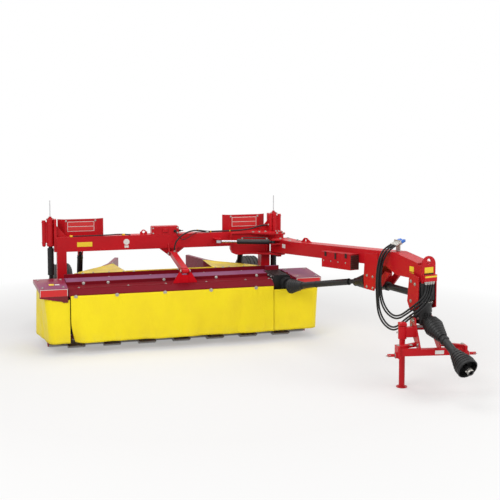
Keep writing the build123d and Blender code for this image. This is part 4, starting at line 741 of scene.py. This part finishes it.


# Swath boards and their tarpaulins.
# Two bent boards narrow the swath behind the discs. A yellow tarpaulin is
# stretched from the deck's rim over each board, bolted along its front hem.
# The tarpaulin's tan second colour is a painted shade, laid in random patches.
tarp_yellow = curtain_cloth("tarpaulin yellow", (0.90, 0.70, 0.025), (0.76, 0.55, 0.08), dirt=0.25, hem=0.55,
                            crease=0.45)
build("rim_edge_yellow", tarp_yellow, "frame", [(plate, 1.050, 0.008, 0.013, at(-0.050, 0.294, 0.7595), 0.002)])
# Swath board red is the frame's red painted darker as shade, with a painted mauve reflection of the sky on its
# tops.
board_red = surface("swath board red", "deck_paint", (0.24, 0.006, 0.020), (0.19, 0.005, 0.016), 0.30, dust_and_sheen=0.35,
                    gloss=0.2, dust_and_sheen_colour=(0.30, 0.12, 0.26))
dress(board_red, "swath_board_right", "swath_board_left")
outer, inner, peak = Vector((1.120, 0.293, 0.7625)), Vector((0.520, 0.293, 0.7625)), Vector((0.576, 1.149, 0.7275))
tarp_rows, tarp_columns, board_clear = 28, 36, 0.7272
for word, side in sides:
    rows = []
    for step in range(tarp_rows + 1):
        back = step / tarp_rows
        row = []
        for part in range(tarp_columns + 1):
            share = part / tarp_columns
            spot = outer.lerp(inner, share).lerp(peak, back)
            slack = 0.022 * math.sin(math.pi * share) * math.sin(math.pi * back ** 0.8)
            ripple = 0.0045 * math.sin(15 * share + 4 * back) * (1 - back) * min(1.0, back * 6)
            row.append((frame_mid + side * spot.x, spot.y, max(spot.z - slack + ripple, board_clear)))
        rows.append(row)
    cloth = sheet_piece(f"swath_tarp_cloth_{word}", rows, 0.0025, tarp_yellow, "frame", f"swath_tarp_{word}")
    build(f"tarp_bolts_{word}", zinc, "frame", [
        *[(bolt, (frame_mid + side * x, 0.3005, 0.763), up, 0.013) for x in (0.55, 0.72, 0.90, 1.08)],
        (bolt, (frame_mid + side * 0.582, 1.132, 0.7295), up, 0.016)])


# Centre link and gearbox over the left disc.
# A red box link joins the beam to the mast on the deck. The gearbox stands in
# a ribbed black plastic guard, its bell round the drive shaft's joint.
guard_black = surface("guard black", "black_plastic", (0.007, 0.007, 0.0075), (0.012, 0.012, 0.013), 0.42,
                      dust_and_sheen=0.05, wear=0.15, worn=(0.10, 0.10, 0.10), grain=(170, 0.2),
                      dust_and_sheen_colour=(0.20, 0.18, 0.16), gloss=0.35)
dress(frame_red, "centre_link")
dress(guard_black, "mower_gearbox")
pin_head = [(0, 0), (0.022, 0), (0.022, 0.004), (0.013, 0.004), (0.013, 0.010), (0.010, 0.012), (0, 0.012)]
build("link_pin_heads", zinc, "frame", [
    (lathe, pin_head, 24, facing((0.015 + way * 0.048, y, z), (way, 0, 0)))
    for y, z in ((0.485, 0.925), (-0.300, 0.838)) for way in (-1, 1)], smooth=True)
bell_rib = [(0.073, -0.003), (0.0785, -0.002), (0.0785, 0.002), (0.073, 0.003), (0.073, -0.003)]
build("gearbox_guard_ribs", guard_black, "frame", [
    *[(slab, [(x - 0.003, -0.299), (x + 0.003, -0.299), (x + 0.003, 0.060), (x - 0.003, 0.060)], 0.005,
       at(0, 0, 0.7415), 0.001) for x in (1.062, 1.100, 1.138, 1.176, 1.214)],
    *[(lathe, bell_rib, 48, facing((1.200, -0.300 - reach, 0.640), ahead))
      for reach in (0.012, 0.032, 0.052, 0.072)]])
build("gearbox_guard_bolts", zinc, "frame", [
    (bolt, (x, y, 0.716), up, 0.014) for x in (1.038, 1.252) for y in (-0.235, -0.12, 0.0, 0.045)])
hose_nut = [(0.0125, 0.0), (0.0155, 0.0), (0.0155, 0.010), (0.0125, 0.012), (0.0125, 0.0)]
hose_nuts_frame = build("hose_nuts_frame", zinc, "frame", [
    (lathe, hose_nut, 6, at(0.030, 0.440, 0.952)),
    (lathe, hose_nut, 6, facing((1.243, 0.566, 1.224), (-1, 0, 0)))])


# Drawbar with its tool box and bearing bracket.
# Long red box beam hinged at the left leg. A tool box with a ribbed dark end
# hangs on its side, and two plates below it hold the drive line's bearing.
bar_turn = Matrix.Rotation(math.radians(12.7), 4, "Z")
bar_place = Matrix.Translation((1.310, 0.360, 0)) @ bar_turn
bar_rise, bar_side, nose_face, nose_side = 0.0676, 0.080, 2.868, 0.111


def bar_top(distance):
    """Height of the drawbar's top at a distance from its pivot."""
    return 1.063 + bar_rise * distance


def on_bar(point, normal):
    """Place and direction given in the drawbar's own frame."""
    return bar_place @ Vector(point), bar_place.to_3x3() @ Vector(normal)


def bar_facing(point, normal=(-1, 0, 0)):
    """Place on a face of the drawbar, on its right side where no other is named."""
    return facing(*on_bar(point, normal))


dress(frame_red, "drawbar", "tool_box", "bearing_bracket")
cap_turns = [math.radians(angle) for angle in range(0, 360, 60)]
build("drawbar_bolts", zinc, "drawbar", [
    *[(bolt, *on_bar((x, -length, bar_top(0) + 0.030), up), 0.022)
      for length in (0.14, 0.36) for x in (-0.055, 0.055)],
    *[(bolt, *on_bar((0.036 * math.cos(turn), 0.036 * math.sin(turn), 1.168), up), 0.012) for turn in cap_turns],
    *[(bolt, *on_bar((way * 0.090, -length, height), (way, 0, 0)), 0.015) for way in (-1, 1)
      for length, height in ((1.99, 0.93), (2.09, 0.93), (1.99, 0.815), (2.09, 0.815))],
    *[(bolt, *on_bar((way * nose_side, -length, height), (way, 0, 0)), 0.017) for way in (-1, 1)
      for length, height in ((2.74, 0.99), (2.80, 0.97), (2.74, 0.80), (2.80, 0.76))]])
build("drawbar_stickers", sticker_pale, "drawbar", [
    (plate, 0.075, 0.048, sticker_thick, bar_facing((-bar_side, -0.265, 1.020)))])
build("rack_strip_yellow", sticker_yellow, "drawbar", [
    (plate, 0.140, 0.016, label_thick, bar_facing((0.0, -2.902, 1.048), ahead)),
    (plate, 0.104, 0.056, sticker_thick, bar_facing((0.0, -nose_face, 1.106), ahead)),
    *[(plate, 0.066, 0.050, sticker_thick, bar_facing((-bar_side, -2.710, height))) for height in (1.100, 1.042)]])
build("nose_window", gland_black, "drawbar", [
    (plate, 0.112, 0.020, label_thick, bar_facing((0.0, -nose_face, 1.0665), ahead))])

box_end_dark = surface("tool box end", "black_plastic", (0.075, 0.008, 0.008), (0.050, 0.006, 0.006), 0.5,
                       dust_and_sheen=0.10, wear=0.2, gloss=0.25)
box_low, box_high = bar_top(1.83) - 0.222, bar_top(1.83) - 0.057
build("tool_box_end", box_end_dark, "drawbar", [
    (plate, 0.100, 0.148, 0.004, bar_facing((-0.134, -1.830, (box_low + box_high) / 2), ahead), 0.001),
    *[(plate, 0.092, 0.008, 0.0075, bar_facing((-0.134, -1.830, box_low + 0.018 + step * 0.0215), ahead), 0.0012)
      for step in range(7)]])
build("tool_box_latches", gland_black, "drawbar", [
    *[(plate, 0.036, 0.050, 0.005, bar_facing((-0.190, -length, bar_top(length) - 0.075)), 0.001)
      for length in (1.36, 1.75)],
    (plate, 0.026, 0.062, 0.008, bar_facing((-0.189, -1.555, bar_top(1.555) - 0.090)), 0.002)])
build("tool_box_screws", zinc, "drawbar", [
    (bolt, *on_bar((-0.188, -length, bar_top(length) - 0.150), (-1, 0, 0)), 0.010)
    for length in (1.32, 1.46, 1.60, 1.74)])


# Steering cylinder.
# Black cylinder between the drawbar and the beam that swings the drawbar out
# to work, with a chromed rod, a screwed gland and a steel pipe along its barrel.
dress(cylinder_black, "steering_barrel")
dress(chrome, "steering_rod")
barrel_eye, rod_eye = Vector((1.1903, 0.1998, 1.060)), Vector((0.570, 0.415, 1.060))
reach_out = (rod_eye - barrel_eye).normalized()


def along_barrel(distance, above=0.0):
    """Point on the barrel's axis at a distance from its eye, or above it."""
    return barrel_eye + reach_out * distance + Vector((0, 0, above))


build("steering_barrel_rings", cylinder_black, "steering_barrel", [
    *[(lathe, [(0.0295, 0), (0.0335, 0.003), (0.0335, long - 0.003), (0.0295, long), (0.0295, 0)], 40,
       facing(along_barrel(start), reach_out)) for start, long in ((0.046, 0.014), (0.398, 0.034))],
    (lathe, [(0.0160, 0), (0.026, 0), (0.024, 0.007), (0.0160, 0.007), (0.0160, 0)], 32,
     facing(along_barrel(0.4295), reach_out)),
    (pipe_run, [along_barrel(0.372, 0.030), along_barrel(0.372, 0.046), along_barrel(0.354, 0.050),
                along_barrel(0.110, 0.050), along_barrel(0.095, 0.044)], 0.0055, 12, 0.002)], smooth=True)
build("steering_barrel_ports", zinc, "steering_barrel", [
    (lathe, [(0.010, 0), (0.010, 0.010), (0.0125, 0.010), (0.0125, 0.020), (0, 0.022)], 6,
     facing(along_barrel(start, 0.027), up)) for start in (0.075, 0.372)])
build("steering_rod_seal", cylinder_black, "steering_rod", [
    (lathe, [(0.027, 0), (0.031, 0), (0.031, 0.0025), (0.027, 0.0025), (0.027, 0)], 32,
     at(rod_eye.x, rod_eye.y, 1.0742))], smooth=True)


# Long drive shaft.
# Black plastic guard tubes slide in each other from the drawbar to the mower,
# with a ribbed bell over the joint at each end and a lock ring at each neck.
dress(guard_black, "shaft_rear", "shaft_front")
rear_joint, front_joint = Vector((1.200, -0.480, 0.640)), Vector((1.7277, -1.4935, 0.859))
shaft_ends = {"shaft_rear": (rear_joint, front_joint, 0.082, 0.0),
              "shaft_front": (Vector((1.7277, -1.4935, 0.850)), Vector((1.200, -0.480, 0.631)), 0.088, -0.010)}
for name, (start, toward, wide, first) in shaft_ends.items():
    way = (toward - start).normalized()
    ribs = []
    for reach in (0.004, 0.030, 0.056, 0.082, 0.108, 0.134):
        here = wide + (0.044 - wide) * ((reach - first) / (0.165 - first))
        ribs.append((lathe, [(here - 0.001, -0.004), (here + 0.004, -0.002), (here + 0.0035, 0.003),
                             (here - 0.003, 0.005), (here - 0.001, -0.004)], 48,
                     facing(start + way * (first + reach + 0.001), way)))
    ribs.append((lathe, [(0.033, 0), (0.0435, 0.001), (0.0435, 0.020), (0.040, 0.026), (0.033, 0.026), (0.033, 0)],
                 40, facing(start + way * 0.166, way)))
    if name == "shaft_rear":
        ribs += [(lathe, [(0.0335, 0), (0.0365, 0.001), (0.0365, 0.010), (0.0335, 0.011), (0.0335, 0)], 40,
                  facing(start + way * reach, way)) for reach in (0.40, 0.878)]
    build(f"{name}_ribs", guard_black, name, ribs, smooth=True)
shaft_way = (front_joint - rear_joint).normalized()
build("shaft_middle_tube", guard_black, "shaft_front", [
    (lathe, [(0.0170, 0), (0.0195, 0.001), (0.0195, 0.100), (0.0240, 0.105), (0.0240, 0.200), (0.0170, 0.204),
             (0.0170, 0)], 40, facing(rear_joint + shaft_way * 0.800, shaft_way))], smooth=True)


# Swivel gearbox on the nose.
# Two black castings turn on each other under the drawbar's nose, with ribs,
# flange bolts and a filler plug.
casting_black = surface("casting black", "gearbox_paint", (0.008, 0.008, 0.009), (0.014, 0.014, 0.015), 0.40,
                        dust_and_sheen=0.06, wear=0.25, worn=(0.13, 0.125, 0.12), grain=(80, 0.35), gloss=0.35)
dress(casting_black, "upper_gearbox", "lower_gearbox")
nose_point = bar_place @ Vector((0, -2.78, 0))
nose_turn = bar_turn.to_3x3()
hitch_place = Matrix.Translation(nose_point) @ Matrix.Rotation(math.radians(-9), 4, "Z")
upper_fins, upper_bolts, lower_fins = [], [], []
for angle in (-128, -108, -90, -72, -52, 60, 90, 120):
    turn = math.radians(angle)
    out = nose_turn @ Vector((math.cos(turn), math.sin(turn), 0))
    upper_fins.append((plate, 0.007, 0.150, 0.010, facing(nose_point + out * 0.0885 + Vector((0, 0, 0.876)), out),
                       0.002))
    lower_fins.append((plate, 0.007, 0.060, 0.008, facing(nose_point + out * 0.0825 + Vector((0, 0, 0.660)), out),
                       0.002))
    for height, reach in ((0.7945, 0.091), (0.9795, 0.088)):
        upper_bolts.append((bolt, nose_point + out * reach + Vector((0, 0, height)), up, 0.013))
build("upper_gearbox_fins", casting_black, "drawbar", upper_fins)
build("upper_gearbox_bolts", zinc, "drawbar", upper_bolts)
build("lower_gearbox_fins", casting_black, "hitch", lower_fins)


def on_hitch(point, normal):
    """Place and direction given in the hitch's own frame."""
    return hitch_place @ Vector(point), hitch_place.to_3x3() @ Vector(normal)


def hitch_facing(point, normal):
    """Place on a face of the hitch."""
    return facing(*on_hitch(point, normal))


build("lower_gearbox_plug", zinc, "hitch", [
    (lathe, [(0, 0), (0.013, 0), (0.013, 0.009), (0, 0.010)], 6,
     hitch_facing((-0.060, -0.058, 0.640), (-0.7, -0.7, 0)))])


# Hitch frame and jack.
# Red side plates and a cross bar turn with the lower gearbox. They carry the
# pins for the tractor's links and the parking jack in its sleeve.
dress(frame_red, "hitch_frame", "jack_leg")
build("hitch_bolts", zinc, "hitch", [
    *[(bolt, *on_hitch((way * 0.104, y, z), (way, 0, 0)), 0.021) for way in (-1, 1)
      for y, z in ((-0.075, 0.622), (-0.02, 0.622), (0.035, 0.622), (-0.10, 0.555), (0.00, 0.560),
                   (-0.215, 0.425))],
    *[(bolt, *on_hitch((x * 0.93, -0.262, 0.435), up), 0.020) for x in (-0.330, -0.200, 0.200, 0.330)]])
build("hitch_sticker", sticker_pale, "hitch", [
    (plate, 0.085, 0.036, sticker_thick, hitch_facing((0.072, -0.315, 0.375), ahead))])
pin_y, pin_z, ring_sides, ring_radius = -0.310, 0.357, 20, 0.024
pin_trim = []
for way in (-1, 1):
    pin_trim.append((lathe, [(0.0145, 0), (0.024, 0.001), (0.024, 0.005), (0.0145, 0.006), (0.0145, 0)], 32,
                     hitch_facing((way * 0.3485, pin_y, pin_z), (way, 0, 0))))
    ring = hitch_facing((way * 0.410, pin_y, pin_z), (0.2 * way, 0.15, 1))
    turns = [math.tau * step / ring_sides for step in range(ring_sides + 1)]
    loop = [ring @ Vector((ring_radius * math.cos(turn), ring_radius * math.sin(turn), 0)) for turn in turns]
    pin_trim.append((pipe_run, loop, 0.0022, 8))
build("link_pin_trim", zinc, "hitch", pin_trim, smooth=True)
jack_x, jack_y = -0.228, -0.118
build("jack_head", frame_red, "jack", [
    (plate, 0.070, 0.070, 0.030, hitch_place @ at(jack_x, jack_y, 0.589), 0.004),
    (lathe, [(0.028, 0), (0.034, 0.001), (0.034, 0.006), (0.028, 0.008)], 36,
     hitch_place @ at(jack_x, jack_y, 0.008))])
build("jack_pin", zinc, "hitch", [
    (lathe, [(0, 0), (0.0075, 0), (0.0075, 0.014), (0.012, 0.014), (0.012, 0.018), (0, 0.018)], 20,
     hitch_facing((-0.285, jack_y, 0.525), (1, 0, 0)))], smooth=True)


# Input shaft.
# Black plastic guard that hangs from the lower gearbox down to its wide end
# bell. The bells are ribbed, and a steel yoke shows in the open end.
dress(guard_black, "input_shaft")
hang_from, hang_to = Vector((0.035, -0.150, 0.612)), Vector((0.205, -0.705, 0.318))
hang_way = (hang_to - hang_from).normalized()
hang_long = (hang_to - hang_from).length


def on_shaft(reach, across=0.0, normal=hang_way):
    """Place along the input shaft at a distance from its upper end."""
    return hitch_facing(hang_from + hang_way * reach + Vector((across, 0, 0)), normal)


build("input_shaft_ribs", guard_black, "hitch", [
    *[(lathe, [(wide - 0.003, -0.004), (wide + 0.0035, -0.002), (wide + 0.0030, 0.003), (wide - 0.004, 0.005),
               (wide - 0.003, -0.004)], 56, on_shaft(reach))
      for reach, wide in ((0.000, 0.0795), (0.022, 0.083), (0.044, 0.087), (0.064, 0.090), (0.092, 0.0825),
                          (0.118, 0.0755), (0.144, 0.068), (0.170, 0.061), (0.196, 0.054))],
    *[(lathe, [(wide - 0.003, -0.004), (wide + 0.0035, -0.002), (wide + 0.0035, 0.003), (wide - 0.003, 0.005),
               (wide - 0.003, -0.004)], 64, on_shaft(hang_long - back - 0.004))
      for back, wide in ((0.185, 0.058), (0.150, 0.069), (0.115, 0.080), (0.080, 0.091), (0.056, 0.0965),
                         (0.030, 0.0965), (0.004, 0.0965))],
    *[(lathe, [(0.037, 0), (0.047, 0.001), (0.047, 0.020), (0.042, 0.026), (0.037, 0.026), (0.037, 0)], 40,
       on_shaft(reach)) for reach in (0.24, hang_long - 0.235)]], smooth=True)
build("yoke_collar", zinc, "hitch", [
    (lathe, [(0.018, 0.0), (0.0305, 0.0), (0.0315, 0.004), (0.0315, 0.030), (0.0302, 0.034), (0.0302, 0.002),
             (0.018, 0.0)], 40, on_shaft(hang_long + 0.018)),
    (lathe, [(0, 0), (0.007, 0), (0.007, 0.014), (0, 0.015)], 16,
     on_shaft(hang_long + 0.028, -0.027, (-1, 0, 0.2)))], smooth=True)


# Hydraulic hoses.
# Four black rubber hoses loop from the nose's rack up to plugs with blue caps, one
# lies on the beam to the left tower, and a thin one leaves the valve box.
hose_black = surface("hose black", "hose_rubber", (0.007, 0.007, 0.008), (0.012, 0.012, 0.013), 0.44, dust_and_sheen=0.05,
                     wear=0.0, grain=(220, 0.25), dust_and_sheen_colour=(0.20, 0.18, 0.16), gloss=0.3)
cap_blue = surface("cap blue", "plug_steel", (0.02, 0.15, 0.58), (0.02, 0.13, 0.50), 0.36, dust_and_sheen=0.08, wear=0.1,
                   worn=(0.10, 0.22, 0.52), grain=(120, 0.06))
hose_radius, box_hose_radius = 0.009, 0.0045
hose_routes = {
    "hose_1": (1.486, [
        (-0.05, -2.89, 1.0025), (-0.05, -2.893, 0.915), (-0.096, -2.896, 0.846), (-0.14, -2.83, 0.775),
        (-0.152, -2.73, 0.7), (-0.144, -2.62, 0.637), (-0.136, -2.51, 0.612), (-0.134, -2.405, 0.646),
        (-0.146, -2.335, 0.74), (-0.1581, -2.3211, 0.8867), (-0.1581, -2.3211, 1.0333), (-0.14, -2.3558, 1.18),
        (-0.092, -2.3973, 1.262), (-0.02, -2.418, 1.302)]),
    "hose_2": (1.568, [
        (-0.022, -2.89, 1.0025), (-0.022, -2.893, 0.907), (-0.096, -2.896, 0.81), (-0.14, -2.83, 0.742),
        (-0.152, -2.73, 0.674), (-0.144, -2.62, 0.611), (-0.136, -2.51, 0.586), (-0.134, -2.379, 0.62),
        (-0.146, -2.309, 0.714), (-0.1581, -2.2951, 0.8693), (-0.1581, -2.2951, 1.0247), (-0.14, -2.3232, 1.18),
        (-0.092, -2.3518, 1.262), (-0.02, -2.366, 1.302)]),
    "hose_3": (1.753, [
        (0.006, -2.89, 1.0025), (0.006, -2.893, 0.884), (-0.123, -2.896, 0.752), (-0.167, -2.826, 0.69),
        (-0.179, -2.73, 0.618), (-0.171, -2.62, 0.534), (-0.163, -2.51, 0.5), (-0.161, -2.399, 0.534),
        (-0.173, -2.329, 0.628), (-0.1829, -2.3177, 0.766), (-0.187, -2.313, 0.904), (-0.1829, -2.3177, 1.042),
        (-0.167, -2.3447, 1.18), (-0.119, -2.3763, 1.262), (-0.02, -2.392, 1.302)]),
    "hose_4": (1.840, [
        (0.034, -2.89, 1.0025), (0.034, -2.893, 0.868), (-0.123, -2.896, 0.714), (-0.167, -2.812, 0.656),
        (-0.179, -2.73, 0.586), (-0.171, -2.62, 0.5062), (-0.163, -2.51, 0.474), (-0.161, -2.373, 0.508),
        (-0.173, -2.303, 0.602), (-0.1829, -2.2917, 0.7465), (-0.187, -2.287, 0.891), (-0.1829, -2.2917, 1.0355),
        (-0.167, -2.3123, 1.18), (-0.119, -2.3308, 1.262), (-0.02, -2.34, 1.302)]),
}
beam_route = [
    (0.030, 0.440, 0.9683), (0.032, 0.439, 1.046), (0.080, 0.442, 1.110), (0.148, 0.462, 1.158),
    (0.232, 0.496, 1.187), (0.330, 0.530, 1.191), (0.430, 0.548, 1.173), (0.500, 0.556, 1.166),
    (0.600, 0.560, 1.168), (0.742, 0.558, 1.166), (0.900, 0.563, 1.171), (1.040, 0.566, 1.186),
    (1.135, 0.567, 1.222), (1.2267, 0.566, 1.224)]
box_route = [
    (0.056, 0.5275, 1.188), (0.056, 0.478, 1.190), (0.072, 0.452, 1.140), (0.130, 0.456, 1.086),
    (0.200, 0.478, 1.105), (0.262, 0.502, 1.145), (0.330, 0.526, 1.173), (0.390, 0.529, 1.168),
    (0.445, 0.529, 1.1645)]


def hose_piece(name, points, body, radius=hose_radius):
    """Round rubber hose on one smooth line through its route."""
    line = bpy.data.curves.new(name, "CURVE")
    line.dimensions = "3D"
    course = line.splines.new("NURBS")
    course.points.add(len(points) - 1)
    for place, point in zip(course.points, points):
        place.co = (*point, 1)
    course.order_u = 3
    course.use_endpoint_u = True
    line.resolution_u = 10
    line.bevel_depth = radius
    line.bevel_resolution = 5
    line.use_fill_caps = True
    line.materials.append(hose_black)
    piece = bpy.data.objects.new(name, line)
    scene.collection.objects.link(piece)
    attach(piece, body)
    return piece


dress(zinc, "hose_couplings")
sleeve_profile = [(0.0092, -0.034), (0.0125, -0.032), (0.0125, -0.024), (0.0115, -0.022), (0.0125, -0.020),
                  (0.0125, -0.012), (0.0115, -0.010), (0.0125, -0.008), (0.0125, 0.0), (0.0092, 0.001),
                  (0.0092, -0.034)]
cap_profile = [(0.0135, 0.034), (0.0165, 0.034), (0.0165, 0.040), (0.0158, 0.042), (0.0165, 0.044),
               (0.0165, 0.050), (0.0158, 0.052), (0.0165, 0.054), (0.0165, 0.072), (0.0135, 0.076), (0, 0.077)]
rack_nut = [(0.0095, -0.030), (0.0125, -0.029), (0.0125, -0.014), (0.0165, -0.014), (0.0165, 0.0), (0.0095, 0.0),
            (0.0095, -0.030)]
rack_nuts = []
for name, (length, route) in hose_routes.items():
    points = [bar_place @ Vector(point) for point in route]
    line = hose_piece(f"{name}_line", points, "drawbar")
    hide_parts(name)
    end = facing(points[-1], (points[-1] - points[-2]).normalized())
    ends = [
        build(f"{name}_sleeve", zinc, "drawbar", [
            (lathe, sleeve_profile, 28, end),
            (lathe, [(0.0120, 0.010), (0.0165, 0.010), (0.0165, 0.022), (0.0120, 0.022)], 6, end)], smooth=True),
        build(f"{name}_cap", cap_blue, "drawbar", [
            (lathe, cap_profile, 28, end),
            (lathe, [(0, 0.076), (0.006, 0.077), (0.006, 0.083), (0, 0.085)], 16, end)], smooth=True)]
    if name == "hose_1":
        ends.append(nodes["hose_couplings"])
    rack_nuts.append((lathe, rack_nut, 6, bar_place @ at(route[0][0], route[0][1], 1.003)))
build("rack_hose_nuts", zinc, "drawbar", rack_nuts)
beam_line = hose_piece("beam_hose_line", beam_route, "frame")
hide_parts("beam_hose")
box_fitting = build("box_hose_fitting", zinc, "frame", [
    (lathe, [(0.0047, -0.012), (0.0070, -0.011), (0.0070, 0.0), (0.0095, 0.002), (0.0095, 0.020), (0.0065, 0.024),
             (0, 0.024)], 6, facing(box_route[-1], (1, 0, 0)))])
box_line = hose_piece("box_hose_line", box_route, "frame", box_hose_radius)
